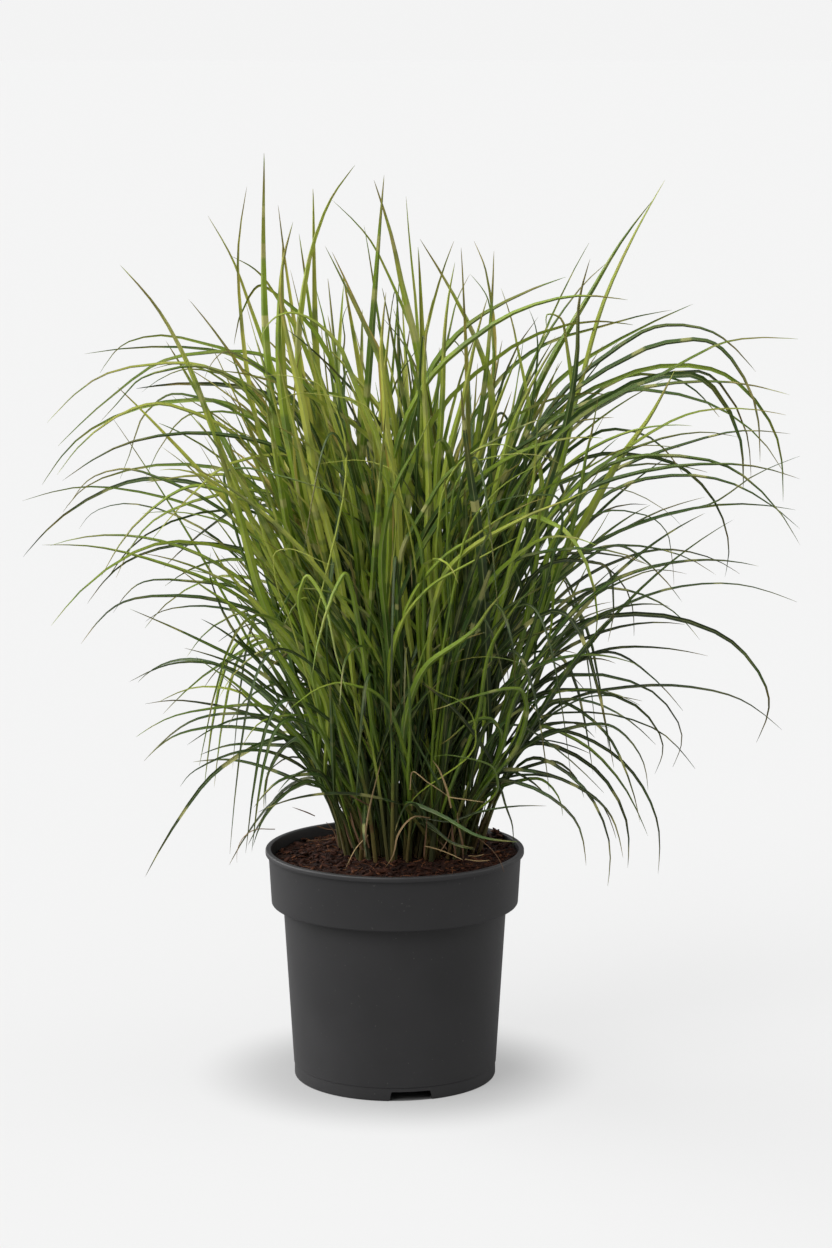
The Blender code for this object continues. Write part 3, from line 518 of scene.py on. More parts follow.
# Dead leaves: (width in mm, not used, shade, points as (pixel, pixel, depth in mm) from the foot)
DRY_LEAVES = [
    (3.2, 0, 0.6, [(370, 806, -70), (358, 800, -80), (346, 793, -85)]),
    (2.4, 0, 0.8, [(365, 857, -70), (366, 830, -94), (371, 800, -108), (381, 762, -114)]),
    (1.2, 0, 0.9, [(368, 835, -78), (355, 850, -88), (345, 870, -93)]),
    (2.4, 0, 0.8, [(430, 818, -70), (415, 817, -78), (398, 835, -88), (393, 855, -92), (385, 868, -94)]),
    (1.5, 0, 0.9, [(410, 790, -120), (413, 772, -125), (427, 782, -130), (441, 791, -134), (449, 797, -136)]),
    (1.2, 0, 0.9, [(449, 797, -136), (462, 799, -137), (483, 802, -138)]),
    (3.0, 0, 0.8, [(451, 808, -122), (448, 796, -124), (443, 780, -126), (438, 768, -127), (432, 760, -128)]),
    (3.0, 0, 0.6, [(463, 859, -64), (462, 845, -66), (459, 830, -68), (457, 812, -70)]),
    (1.0, 0, 0.6, [(440, 852, -76), (446, 843, -78), (451, 828, -80)]),
    (0.9, 0, 0.5, [(478, 838, -60), (490, 848, -68), (500, 861, -76), (504, 872, -82)]),
    (2.6, 0, 0.3, [(338, 846, -46), (334, 832, -48), (326, 822, -50)]),
    (1.2, 0, 0.5, [(306, 841, -52), (320, 840, -54), (337, 837, -56)]),
    (1.4, 0, 0.4, [(317, 826, -44), (327, 829, -46), (337, 830, -48)]),
    (1.2, 0, 0.8, [(465, 859, -86), (478, 861, -86), (491, 860, -84)]),
    (1.0, 0, 0.5, [(447, 849, -84), (442, 844, -86), (436, 838, -88)]),
    (3.6, 0, 0.2, [(362, 850, -62), (355, 832, -64), (350, 812, -64)]),
    (3.2, 0, 0.35, [(369, 848, -64), (363, 828, -66), (357, 806, -66)]),
    (3.0, 0, 0.15, [(352, 848, -58), (347, 834, -60), (343, 820, -60)]),
    (2.8, 0, 0.3, [(456, 858, -66), (453, 842, -68), (452, 822, -68)]),
    (2.4, 0, 0.5, [(424, 856, -68), (426, 838, -70), (427, 818, -70)]),
    (1.6, 0, 0.9, [(425, 846, -70), (440, 850, -80), (463, 860, -88)]),
    (1.4, 0, 0.8, [(468, 856, -70), (477, 856, -74), (485, 854, -78)]),
    (1.2, 0, 0.6, [(275, 829, -40), (252, 831, -50), (243, 838, -52), (238, 848, -54), (237, 863, -54)]),
    (1.8, 0, 0.3, [(315, 816, -60), (305, 812, -64), (292, 807, -66)]),
]

# Grass: curves
def unit(vector):
    return vector / max(1e-9, float(np.linalg.norm(vector)))


def through(points, start_way, count=160):
    """A smooth curve through the points that sets out along start_way, as points evenly spaced along it."""
    points = np.asarray(points, float)
    lengths = np.linalg.norm(np.diff(points, axis=0), axis=1)
    slopes = np.diff(points, axis=0) / lengths[:, None]
    ways = [np.asarray(start_way, float)]
    for before, after, first, second in zip(lengths, lengths[1:], slopes, slopes[1:]):
        ways.append((first * after + second * before) / (before + after))
    ways.append(1.5 * slopes[-1] - 0.5 * ways[-1])
    curve = []
    for index, length in enumerate(lengths):
        share = np.linspace(0, 1, 40, endpoint=False)[:, None]
        square, cube = share**2, share**3
        curve.append(
            points[index] * (2 * cube - 3 * square + 1)
            + ways[index] * length * (cube - 2 * square + share)
            + points[index + 1] * (3 * square - 2 * cube)
            + ways[index + 1] * length * (cube - square)
        )
    curve = np.vstack([*curve, points[-1:]])
    along = np.concatenate([[0], np.cumsum(np.linalg.norm(np.diff(curve, axis=0), axis=1))])
    even = np.linspace(0, along[-1], count)
    return np.column_stack([np.interp(even, along, curve[:, axis]) for axis in range(3)])


def arching(start, turn, lean, droop, length, count=60):
    """A leaf that leans away from upright by lean at its start and by droop at its tip, bending as it goes."""
    share = (np.arange(count - 1) + 0.5) / (count - 1)
    angle = lean + (droop - lean) * share**1.4
    step = length / (count - 1)
    way = np.column_stack([np.sin(angle) * math.cos(turn), np.sin(angle) * math.sin(turn), np.cos(angle)])
    return np.vstack([start, start + np.cumsum(way * step, axis=0)])


def traced_path(root, root_way, pixels, tip_depth):
    """The curve from a root through the traced pixels, whose depth eases from the root's to the tip's."""
    flat = [seen(u, v, root[1]) for u, v in reversed(pixels)]
    gone = [float(np.linalg.norm(flat[0] - root))]
    for before, after in zip(flat, flat[1:]):
        gone.append(gone[-1] + float(np.linalg.norm(after - before)))
    points = [root]
    for (u, v), length in zip(reversed(pixels), gone):
        share = length / gone[-1]
        points.append(seen(u, v, root[1] + (tip_depth - root[1]) * share))
    first = unit(points[1] - points[0])
    return through(points, 0.55 * unit(root_way) + 0.45 * first)


# Grass: places of the solids
def along(path, share):
    """The point and the direction at a share of the way along a path of even steps."""
    place = share * (len(path) - 1)
    index = min(len(path) - 2, int(place))
    part = place - index
    return path[index] * (1 - part) + path[index + 1] * part, unit(path[index + 1] - path[index])


def bend_stops(path, count):
    """Shares of the way along a path to put a blade's rings at: closer together where the path bends."""
    ways = np.diff(path, axis=0)
    ways /= np.linalg.norm(ways, axis=1)[:, None]
    bends = np.arccos(np.clip((ways[1:] * ways[:-1]).sum(axis=1), -1, 1))
    steps = 1.0 / len(ways) + BEND_WEIGHT * np.concatenate([[0.0], bends])
    gone = np.concatenate([[0.0], np.cumsum(steps)])
    shares = np.interp(np.linspace(0, gone[-1], count), gone, np.linspace(0, 1, len(gone)))
    return [float(share) for share in shares]


def on_stem(path, stops, share):
    """The same on the straight pieces that the leader's solid is made of, so that a leaf starts inside it."""
    above = next(stop for stop in stops if stop >= share)
    below = max(stop for stop in stops if stop < share)
    low, high = along(path, below)[0], along(path, above)[0]
    return low + (high - low) * (share - below) / (above - below), unit(high - low)


def ribbon(path, stops, sizes, twist, grow):
    """A leaf's solid, made larger by grow: points at its two edges and its keel, and its faces."""
    reach = path[-1] - path[0]
    aside = unit(np.array([-reach[1], reach[0], 0.0]) + np.array([0.0, 1e-6, 0.0]))
    points = []
    for stop in stops[:-1]:
        centre, way = along(path, stop)
        across = unit(aside - way * float(aside @ way))
        under = np.cross(way, across)
        turn = twist[0] + (twist[1] - twist[0]) * stop
        edge = across * math.cos(turn) + under * math.sin(turn)
        keel = under * math.cos(turn) - across * math.sin(turn)
        width, depth = sizes(stop)
        points.append(centre - edge * (width / 2 + grow) + keel * (depth * 0.35 + grow))
        points.append(centre + edge * (width / 2 + grow) + keel * (depth * 0.35 + grow))
        points.append(centre - keel * (depth * 0.65 + grow))
    points.append(path[-1] + unit(path[-1] - path[-2]) * grow)
    for corner in points[:3]:
        corner[2] = path[0][2]
    last = len(points) - 1
    faces = [(0, 2, 1)]
    for ring in range(len(stops) - 2):
        low, high = ring * 3, ring * 3 + 3
        for near, far in ((0, 1), (1, 2), (2, 0)):
            faces.append((low + near, low + far, high + far))
            faces.append((low + near, high + far, high + near))
    for near, far in ((0, 1), (1, 2), (2, 0)):
        faces.append((last - 3 + near, last - 3 + far, last))
    return np.array(points), faces


def blade_sizes(width):
    """Width and thickness along a leaf's solid: narrow, then full, then a long taper."""
    def sizes(stop):
        grown = min(1.0, 0.55 + stop / 0.35 * 0.45)
        taper = 1 - max(0.0, (stop - 0.45) / 0.55) ** 1.7
        return max(TIP_WIDTH, width * grown * taper), BLADE_KEEL * (0.4 + 0.6 * taper)
    return sizes


def leader_sizes(width):
    """The same for a stem that runs on into its longest leaf."""
    def sizes(stop):
        if stop <= STEM_SHARE:
            thin = 1 - 0.3 * stop / STEM_SHARE
            return STEM_WIDTH * thin, STEM_DEPTH * thin
        share = (stop - STEM_SHARE) / (1 - STEM_SHARE)
        blade_width, blade_depth = blade_sizes(width)(0.15 + 0.85 * share)
        flatten = min(1.0, share / 0.25)
        return blade_width, STEM_DEPTH * 0.7 * (1 - flatten) + blade_depth * flatten
    return sizes


class Clump:
    """The solids placed so far, so that no two shoots touch."""

    def __init__(self):
        self.trees = []

    def clear(self, points, faces, own):
        tree = BVHTree.FromPolygons([tuple(p) for p in points], faces)
        return not any(
            shoot != own and tree.overlap(other) for shoot, other in self.trees
        )

    def keep(self, points, faces, own):
        self.trees.append((own, BVHTree.FromPolygons([tuple(p) for p in points], faces)))


def crown_places(count):
    """Places for the stems in the crown, one step of the golden angle after another, from the middle out."""
    places = []
    for index in range(count):
        reach = math.sqrt((index + 0.5) / count)
        turn = index * GOLDEN_ANGLE
        x = CROWN_X + CROWN_HALF_WIDTH * reach * math.cos(turn)
        y = CROWN_Y + CROWN_HALF_DEPTH * reach * math.sin(turn)
        places.append(np.array([x, y, SOIL_CROWN_Z + 1.2 * GAP]))
    return places


def wished_place(tip):
    """Where in the crown a shoot with this tip belongs: far out if it leans far, near the middle if upright."""
    turn = math.atan2(tip[1] - CROWN_Y, tip[0] - CROWN_X)
    lean = math.atan2(math.hypot(tip[0] - CROWN_X, tip[1] - CROWN_Y), max(0.05, tip[2] - SOIL_CROWN_Z))
    reach = min(1.0, 0.15 + lean / math.radians(70))
    return np.array([
        CROWN_X + CROWN_HALF_WIDTH * reach * math.cos(turn),
        CROWN_Y + CROWN_HALF_DEPTH * reach * math.sin(turn),
        SOIL_CROWN_Z,
    ])


def around_path(root, turn, reach, top, end):
    """The curve of a shoot that leans towards the front or the back, from its direction and its heights."""
    out = np.array([math.cos(turn), math.sin(turn), 0.0])
    middle = np.array([CROWN_X, CROWN_Y, 0.0])
    points = [
        root,
        middle + out * reach * 0.38 + np.array([0, 0, root[2] + (top - root[2]) * 0.72]),
        middle + out * reach * 0.75 + np.array([0, 0, top]),
        middle + out * reach + np.array([0, 0, end]),
    ]
    return through(points, np.array([0, 0, 0.85]) + out * 0.15)


def leader_curve(root, leaves, around, shift):
    """The curve of a shoot's longest leaf, moved a little to the back or the front by shift."""
    if around:
        turn, reach, top, end = around
        return around_path(root, math.radians(turn) + shift * 4, reach / 1000, top / 1000, end / 1000)
    width, depth, pixels = leaves[0]
    upright = np.array([0.0, 0.0, 1.0]) + 1.6 * (root - np.array([CROWN_X, CROWN_Y, root[2]]))
    return traced_path(root, upright, pixels, depth / 1000 + shift)


def within_span(path):
    """True where a curve keeps inside the clump's whole width and depth."""
    return bool((np.abs(path[:, 0]) < HALF_SPAN_X).all() and (np.abs(path[:, 1]) < HALF_SPAN_Y).all())


def inside_outline(path):
    """True where a leaf's solid stays in the fountain shape of the clump and above the pot's rim."""
    across = np.hypot(path[:, 0] - CROWN_X, path[:, 1] - CROWN_Y)
    height = path[:, 2] - SOIL_CROWN_Z
    limit = 0.33 * np.clip(1.12 - ((height - 0.30) / 0.40) ** 2, 0.0, 1.0)
    return bool((across < np.maximum(limit, 0.085 + height * 0.55)).all() and (height[5:] > 0.015).all())


class Shoot:
    """One shoot of the solids: the curve of its stem and longest leaf, and those of its other leaves."""

    def __init__(self, name, leaves, around):
        self.name = name
        self.node = "shoot_" + name
        self.leaves = leaves
        self.around = around
        self.width = leaves[0][0] / 1000 if leaves else AROUND_WIDTH
        self.wished = wished_place(self.tip())
        self.path = None
        self.stops = None
        self.twist = None
        self.sides = []

    def tip(self):
        if self.leaves:
            width, depth, pixels = self.leaves[0]
            return seen(*pixels[0], depth / 1000)
        turn, reach, top, end = self.around
        turn = math.radians(turn)
        return np.array([CROWN_X, CROWN_Y, 0]) + np.array([math.cos(turn) * reach, math.sin(turn) * reach, end]) / 1000

    def grow_leader(self, places, clump, rng):
        """Takes a free place near the wished one, and a small shift, on which it touches no other shoot."""
        choices = []
        for rank, root in enumerate(places):
            for step in range(-SHIFTS, SHIFTS + 1):
                choices.append((abs(step) * SHIFT + rank * SHIFT / 2, step * SHIFT, rank, root))
        choices.sort(key=lambda choice: choice[:3])
        sizes = leader_sizes(self.width)
        for cost, shift, rank, root in choices:
            path = leader_curve(root, self.leaves, self.around, shift)
            twist = (rng.uniform(-0.5, 0.5), rng.uniform(-1.3, 1.3))
            stops = bend_stops(path, LEADER_RINGS)
            if within_span(path) and clump.clear(*ribbon(path, stops, sizes, twist, CLEARANCE), self.name):
                self.path, self.stops, self.twist = path, stops, twist
                clump.keep(*ribbon(path, stops, sizes, twist, 0.0), self.name)
                return root
        raise RuntimeError(f"no room for {self.node}")

    def grow_traced(self, clump, rng):
        for wide, depth, pixels in self.leaves[1:]:
            for attempt in range(TRIES):
                start, way = on_stem(self.path, self.stops, rng.uniform(0.12, 0.30))
                shift = (attempt + 1) // 2 * (1 if attempt % 2 else -1) * SHIFT
                side = traced_path(start, way, pixels, depth / 1000 + shift)
                if within_span(side) and self.add_leaf(side, wide / 1000, clump, rng):
                    break

    def grow_more(self, clump, rng):
        lean_turn = math.atan2(*(self.path[-1] - self.path[0])[[1, 0]])
        for attempt in range(TRIES * 2):
            if len(self.sides) >= SIDE_LEAVES:
                break
            start, way = on_stem(self.path, self.stops, rng.uniform(0.10, 0.36))
            hand = 1 if attempt % 2 else -1
            turn = lean_turn + hand * rng.uniform(0.3, 1.5)
            lean = math.acos(max(-1.0, min(1.0, way[2]))) + rng.uniform(0.05, 0.3)
            droop = lean + rng.uniform(0.2, 1.5)
            side = arching(start, turn, lean, droop, rng.uniform(0.18, 0.36))
            if inside_outline(side) and within_span(side):
                self.add_leaf(side, rng.uniform(0.0045, 0.0065), clump, rng)

    def add_leaf(self, path, width, clump, rng):
        twist = (rng.uniform(-0.4, 0.4), rng.uniform(-1.2, 1.2))
        stops = bend_stops(path, SIDE_RINGS)
        if not clump.clear(*ribbon(path, stops, blade_sizes(width), twist, CLEARANCE), self.name):
            return False
        clump.keep(*ribbon(path, stops, blade_sizes(width), twist, 0.0), self.name)
        self.sides.append((path, width, twist))
        return True


def grown_shoots(rng):
    """The shoots of the solids, grown by the same rules and the same draws."""
    shoots = [Shoot(name, leaves, None) for name, leaves in TRACED.items()]
    shoots += [Shoot(name, [], around) for name, around in AROUND.items()]
    shoots.sort(key=lambda shoot: -float(np.hypot(*(shoot.wished[:2] - (CROWN_X, CROWN_Y)))))
    free = crown_places(len(shoots))
    clump = Clump()
    for shoot in shoots:
        free.sort(key=lambda place: float(np.hypot(*(place[:2] - shoot.wished[:2]))))
        root = shoot.grow_leader(free, clump, rng)
        free = [place for place in free if place is not root]
    for shoot in shoots:
        shoot.grow_traced(clump, rng)
    for shoot in shoots:
        shoot.grow_more(clump, rng)
    return shoots


# Meshes from arrays: leaves, stems, crumbs and fibres
BLADE_LAY = "Blade"
BAKE_LAY = "OFBake"
THICKNESS = 0.00036
TAPER_LENGTH = 0.16
# Painted shade and light on the leaves: these heights and strengths darken leaves low in the clump and near its middle,
# and lighten high ones.
MIDDLE_HEIGHT = 0.53
LOW_PAINTED_SHADE = 0.52
HIGH_TINT_AND_PAINTED_LIGHT = 0.30
INNER_PAINTED_SHADE = 0.20
INNER_WIDTH = 0.13
INNER_HEIGHTS = (0.47, 0.58)
BLADE_CORNERS = 4
STEM_SIDES = 6
SIGHT = np.array([0.0, 1.0, 0.0])
TIP_STOPS = (0.95, 0.985)


class Strips:
    """Many thin closed forms, gathered from arrays to make one mesh.

    Each has rings of the same number of corners, and a square of its own in the map for baking.
    """

    def __init__(self):
        self.points = []
        self.faces = []
        self.lays = []
        self.spots = []
        self.values = {"shade": [], "share": [], "band": []}
        self.count = 0
        self.forms = 0

    def add(self, rings, lay_x, lay_y, shade, share, band=0.0):
        """Joins rings, an array of (ring, corner, axis), into a skin with both ends closed.

        lay_x is the place across at each side of the skin, lay_y the place along at each ring, in metres.
        """
        total, corners = rings.shape[:2]
        first = self.count + np.arange(total - 1)[:, None] * corners
        near = np.arange(corners)[None, :]
        far = (near + 1) % corners
        skin = np.stack([first + near, first + far, first + corners + far, first + corners + near], axis=-1)
        quads = [skin.reshape(-1, 4)]
        x = np.stack([lay_x[:-1], lay_x[1:], lay_x[1:], lay_x[:-1]], axis=-1)
        x = np.broadcast_to(x[None], (total - 1, corners, 4)).reshape(-1, 4)
        y = np.stack([lay_y[:-1], lay_y[:-1], lay_y[1:], lay_y[1:]], axis=-1)
        y = np.repeat(y, corners, axis=0)
        up = np.linspace(0, 1, total)
        spot_y = np.repeat(np.stack([up[:-1], up[:-1], up[1:], up[1:]], axis=-1), corners, axis=0)
        side = np.linspace(0, 1, corners + 1)
        spot_x = np.stack([side[:-1], side[1:], side[1:], side[:-1]], axis=-1)
        spot_x = np.broadcast_to(spot_x[None], (total - 1, corners, 4)).reshape(-1, 4)
        lays, spots = [np.stack([x, y], axis=-1)], [np.stack([spot_x, spot_y], axis=-1)]
        for ring, turned in ((0, True), (total - 1, False)):
            for corner in range(1, corners - 2, 2):
                cap = np.array([0, corner, corner + 1, corner + 2]) + self.count + ring * corners
                quads.append((cap[::-1] if turned else cap)[None])
                lays.append(np.full((1, 4, 2), (float(lay_x[0]), float(lay_y[ring]))))
                spots.append(np.full((1, 4, 2), (0.5, 0.0 if ring == 0 else 1.0)))
        self.points.append(rings.reshape(-1, 3))
        self.faces.append(np.vstack(quads))
        self.lays.append(np.vstack(lays))
        self.spots.append(np.vstack(spots) + (self.forms, 0.0))
        for name, value in (("shade", shade), ("share", share), ("band", band)):
            each = np.broadcast_to(np.asarray(value, float).reshape(-1, 1), (total, corners))
            self.values[name].append(each.reshape(-1))
        self.count += total * corners
        self.forms += 1

    def piece(self, name, finish):
        """One object with all the forms gathered."""
        mesh = bpy.data.meshes.new(name)
        mesh.from_pydata(np.vstack(self.points), [], np.vstack(self.faces))
        lay = mesh.uv_layers.new(name=BLADE_LAY)
        lay.data.foreach_set("uv", np.vstack(self.lays).reshape(-1).astype(np.float32))
        spots = np.vstack(self.spots)
        # The forms lie side by side in rows, so that each has a tall narrow place in the square.
        rows = max(1, round(math.sqrt(self.forms / 12)))
        per_row = math.ceil(self.forms / rows)
        column, row = np.floor(np.minimum(spots[..., 0], self.forms - 1e-6)), 0
        inside = spots[..., 0] - column
        own = np.floor(spots[..., 0].min(axis=1, keepdims=True) + 1e-6)
        inside = np.clip(spots[..., 0] - own, 0, 1)
        column, row = own % per_row, own // per_row
        spots = np.stack([(column + 0.06 + 0.88 * inside) / per_row, (row + 0.02 + 0.96 * spots[..., 1]) / rows], axis=-1)
        bake = mesh.uv_layers.new(name=BAKE_LAY)
        bake.data.foreach_set("uv", spots.reshape(-1).astype(np.float32))
        for value, each in self.values.items():
            layer = mesh.attributes.new(value, "FLOAT", "POINT")
            layer.data.foreach_set("value", np.concatenate(each).astype(np.float32))
        mesh.materials.append(finish)
        mesh.shade_smooth()
        mesh.set_sharp_from_angle(angle=math.radians(70))
        made = bpy.data.objects.new(name, mesh)
        bpy.context.scene.collection.objects.link(made)
        return made


def framed(path, count, twist, broadside=0.0, extra=()):
    """Rings along a path: their shares, centres, the way across the leaf and the way up from it at each.

    With broadside at 0 the leaf lies flat as it arches, and at 1 its face is turned to the front.
    """
    stops = np.unique(np.concatenate([bend_stops(path, count), TIP_STOPS, extra]))
    place = stops * (len(path) - 1)
    index = np.minimum(len(path) - 2, place.astype(int))
    part = (place - index)[:, None]
    ways = np.gradient(path, axis=0)
    centre = path[index] * (1 - part) + path[index + 1] * part
    way = ways[index] * (1 - part) + ways[index + 1] * part
    way /= np.linalg.norm(way, axis=1)[:, None]
    reach = path[-1] - path[0]
    aside = unit(np.array([-reach[1], reach[0], 0.0]) + np.array([0.0, 1e-6, 0.0]))
    across = aside - way * (way @ aside)[:, None]
    across /= np.maximum(1e-9, np.linalg.norm(across, axis=1))[:, None]
    broad = np.cross(way, SIGHT)
    broad *= 1.0 if (broad * across).sum() >= 0 else -1.0
    across = across * (1 - broadside) + broad * broadside
    across /= np.maximum(1e-9, np.linalg.norm(across, axis=1))[:, None]
    upper = np.cross(way, across)
    turn = (twist[0] + (twist[1] - twist[0]) * stops)[:, None]
    edge = across * np.cos(turn) + upper * np.sin(turn)
    upper = upper * np.cos(turn) - across * np.sin(turn)
    return stops, centre, edge, upper


def add_blade(strips, path, width, twist, rings, shade, band, rng, broadside=0.0, marks=(), depth=1.0):
    """A leaf: a thin fold along its midrib, tight where it leaves the stem, open after, narrow at the tip.

    Marks are cross bands at known distances from the tip. Depth scales the painted shade on its lower and inner parts.
    """
    long = float(np.linalg.norm(np.diff(path, axis=0), axis=1).sum())
    edges = [1 - (mark + side) / long for mark in marks for side in (-0.0085, -0.0035, 0.0035, 0.0085)]
    stops, centre, edge, upper = framed(path, rings, twist, broadside, edges)
    bands = np.full(len(stops), float(band))
    for mark in marks:
        bands[np.abs((1 - stops) * long - mark) < 0.0060] = 2.0
    grown = np.minimum(1.0, 0.45 + stops / 0.30 * 0.55)
    to_tip = (1 - stops) * long / min(TAPER_LENGTH, long * 0.6)
    taper = np.clip(to_tip, 0.0, 1.0) ** 0.57
    half = (np.maximum(0.03, grown * taper) * width / 2)[:, None]
    fold = np.radians(np.interp(stops, [0, 0.05, 0.18, 0.7, 1.0], [74, 60, 40, 34, 50]))[:, None]
    thick = THICKNESS * np.interp(stops, [0, 0.8, 1.0], [1.5, 1.0, 0.5])[:, None]
    out, lift = half * np.cos(fold), half * np.sin(fold)
    corners = np.stack([
        centre - edge * out + upper * lift,
        centre + upper * thick * 0.5,
        centre + edge * out + upper * lift,
        centre - upper * thick,
    ], axis=1)
    lay_y = stops * long + rng.uniform(0, 9)
    # Painted shade and light in the leaf's tone: darker below the middle height, lighter and yellower above it (partly
    # the leaves' own colour, partly painted light), and darker again near the middle of the clump at mid height.
    higher = (centre[:, 2] - MIDDLE_HEIGHT) / MIDDLE_HEIGHT
    higher = higher * np.where(higher < 0, LOW_PAINTED_SHADE * depth, HIGH_TINT_AND_PAINTED_LIGHT)
    inner = np.clip(1 - np.abs(centre[:, 0] - CROWN_X) / INNER_WIDTH, 0, 1) ** 0.5
    inner = inner * np.interp(centre[:, 2], INNER_HEIGHTS, (1, 0)) * INNER_PAINTED_SHADE * depth
    strips.add(corners, np.array([0.0, 0.5, 1.0, 1.5, 2.0]), lay_y, shade + higher - inner, stops, bands)


def add_stem(strips, path, end, thick_foot, thick_end, shade, rng):
    """A stem: a slightly flattened tube from the soil up to a share of the path, lapped by leaf sheaths."""
    low = path[: max(8, int(end * len(path)))]
    stops, centre, edge, upper = framed(low, 8, (0.0, 0.6))
    radius = np.interp(stops, [0, 0.15, 1.0], [thick_foot * 1.06, thick_foot * 0.94, thick_end])[:, None]
    turns = np.arange(STEM_SIDES) * math.tau / STEM_SIDES
    corners = np.stack([
        centre + (edge * math.cos(turn) + upper * math.sin(turn) * 0.82) * radius for turn in turns
    ], axis=1)
    corners[0, :, 2] = path[0][2] - 0.002
    height = np.clip((centre[:, 2] - SOIL_CROWN_Z) / 0.13, 0, 1)
    share = -(1.0 - height) ** 1.5
    across = np.linspace(0, 2, STEM_SIDES + 1)
    long = float(np.linalg.norm(np.diff(low, axis=0), axis=1).sum())
    strips.add(corners, across, stops * long + rng.uniform(0, 9), shade, share)


# Materials
class Finish:
    """A material in the making, whose nodes are added one after another."""

    def __init__(self, name):
        self.made = bpy.data.materials.new(name)
        self.made.use_nodes = True
        self.tree = self.made.node_tree
        self.shader = self.tree.nodes["Principled BSDF"]
        self.output = self.tree.nodes["Material Output"]

    def node(self, kind, inputs=None, **settings):
        """Adds a node. An input is given a number, a colour, or the socket that feeds it."""
        made = self.tree.nodes.new(kind)
        for setting, value in settings.items():
            setattr(made, setting, value)
        for socket, value in (inputs or {}).items():
            if isinstance(value, bpy.types.NodeSocket):
                self.tree.links.new(value, made.inputs[socket])
            else:
                made.inputs[socket].default_value = value
        return made

    def math(self, operation, first, second=0.0, third=0.0, clamp=False):
        made = self.node("ShaderNodeMath", {0: first, 1: second, 2: third}, operation=operation, use_clamp=clamp)
        return made.outputs[0]

    def between(self, value, low, high, to_low=0.0, to_high=1.0):
        """The value taken from one span to another, smoothly, and kept inside it."""
        made = self.node(
            "ShaderNodeMapRange",
            {"Value": value, "From Min": low, "From Max": high, "To Min": to_low, "To Max": to_high},
            interpolation_type="SMOOTHSTEP",
        )
        return made.outputs["Result"]

    def noise(self, vector, scale, detail=2.0, roughness=0.5):
        made = self.node(
            "ShaderNodeTexNoise",
            {"Vector": vector, "Scale": scale, "Detail": detail, "Roughness": roughness},
        )
        return made.outputs["Fac"]

    def mix(self, share, first, second, blend="MIX"):
        made = self.node(
            "ShaderNodeMix", {0: share, 6: first, 7: second}, data_type="RGBA", blend_type=blend,
        )
        return made.outputs[2]

    def ramp(self, value, stops):
        made = self.node("ShaderNodeValToRGB", {"Fac": value})
        bands = made.color_ramp.elements
        for band, (place, colour) in zip((bands[0], bands[-1]), (stops[0], stops[-1])):
            band.position, band.color = place, opaque(colour)
        for place, colour in stops[1:-1]:
            bands.new(place).color = opaque(colour)
        return made.outputs["Color"]

    def vector(self, x=0.0, y=0.0, z=0.0):
        return self.node("ShaderNodeCombineXYZ", {"X": x, "Y": y, "Z": z}).outputs[0]

    def attribute(self, name):
        return self.node("ShaderNodeAttribute", attribute_name=name).outputs["Fac"]

    def place(self):
        return self.node("ShaderNodeTexCoord").outputs["Object"]

    def bump(self, height, distance, strength=1.0):
        made = self.node("ShaderNodeBump", {"Height": height, "Distance": distance, "Strength": strength})
        self.link(made.outputs["Normal"], "Normal")
        return made.outputs["Normal"]

    def link(self, socket, name):
        self.tree.links.new(socket, self.shader.inputs[name])

    def set(self, **values):
        """Sets plain numbers and colours on the shader's own sockets."""
        for name, value in values.items():
            self.shader.inputs[name.replace("_", " ")].default_value = value


def opaque(colour):
    return (*tuple(colour)[:3], 1.0)


def pot_finish(look):
    """Moulded plastic: dark grey, with a fine grain, faint cloudy patches and a little dust."""
    finish = Finish("pot_plastic")
    place = finish.place()
    cloudy = finish.noise(place, 14.0, 3.0)
    grain = finish.noise(place, 1500.0, 2.0)
    colour = finish.mix(finish.between(cloudy, 0.3, 0.7), opaque(look.colour), opaque([c * 1.22 for c in look.colour]))
    specks = finish.noise(place, 420.0, 1.0)
    dust = finish.math("MULTIPLY", finish.between(specks, 0.74, 0.80), 0.30)
    colour = finish.mix(dust, colour, opaque((0.16, 0.15, 0.14)))
    finish.link(colour, "Base Color")
    finish.link(finish.between(cloudy, 0.2, 0.8, look.roughness - 0.05, look.roughness + 0.07), "Roughness")
    finish.set(IOR=1.50)
    waves = finish.math("MULTIPLY", cloudy, 0.6)
    finish.bump(finish.math("ADD", grain, waves), 0.00012, 0.55)
    return finish.made


def soil_finish(look):
    """Potting mix: dark reddish brown and lumpy, darker where its bumps are low."""
    finish = Finish("potting_mix")
    place = finish.place()
    coarse = finish.noise(place, 160.0, 4.0, 0.65)
    fine = finish.noise(place, 900.0, 3.0, 0.6)
    both = finish.math("MULTIPLY_ADD", fine, 0.45, finish.math("MULTIPLY", coarse, 0.6))
    dark, warm = look.dark_colour, look.warm_colour
    finish.link(finish.ramp(both, [(0.38, dark), (0.58, [(d + w) / 2 for d, w in zip(dark, warm)]), (0.72, warm)]), "Base Color")
    finish.link(finish.between(coarse, 0.3, 0.7, 0.78, 0.95), "Roughness")
    finish.set(Specular_IOR_Level=0.2)
    finish.bump(both, 0.0016, 1.0)
    return finish.made


def crumb_finish(look, name, light_share):
    """Bits of bark and fibre. Each has its own shade, from dark to light."""
    finish = Finish(name)
    shade = finish.attribute("shade")
    streak = finish.noise(finish.place(), 700.0, 2.0)
    value = finish.math("MULTIPLY_ADD", streak, 0.35, shade)
    finish.link(finish.ramp(value, [
        (0.12, look.dark_colour),
        (0.62, look.warm_colour),
        (1.0, look.fibre_colour),
        (1.25 if light_share > 1 else 1.0, look.fibre_colour),
    ][:3]), "Base Color")
    finish.set(Roughness=0.85, Specular_IOR_Level=0.2)
    finish.bump(streak, 0.0004, 0.8)
    return finish.made


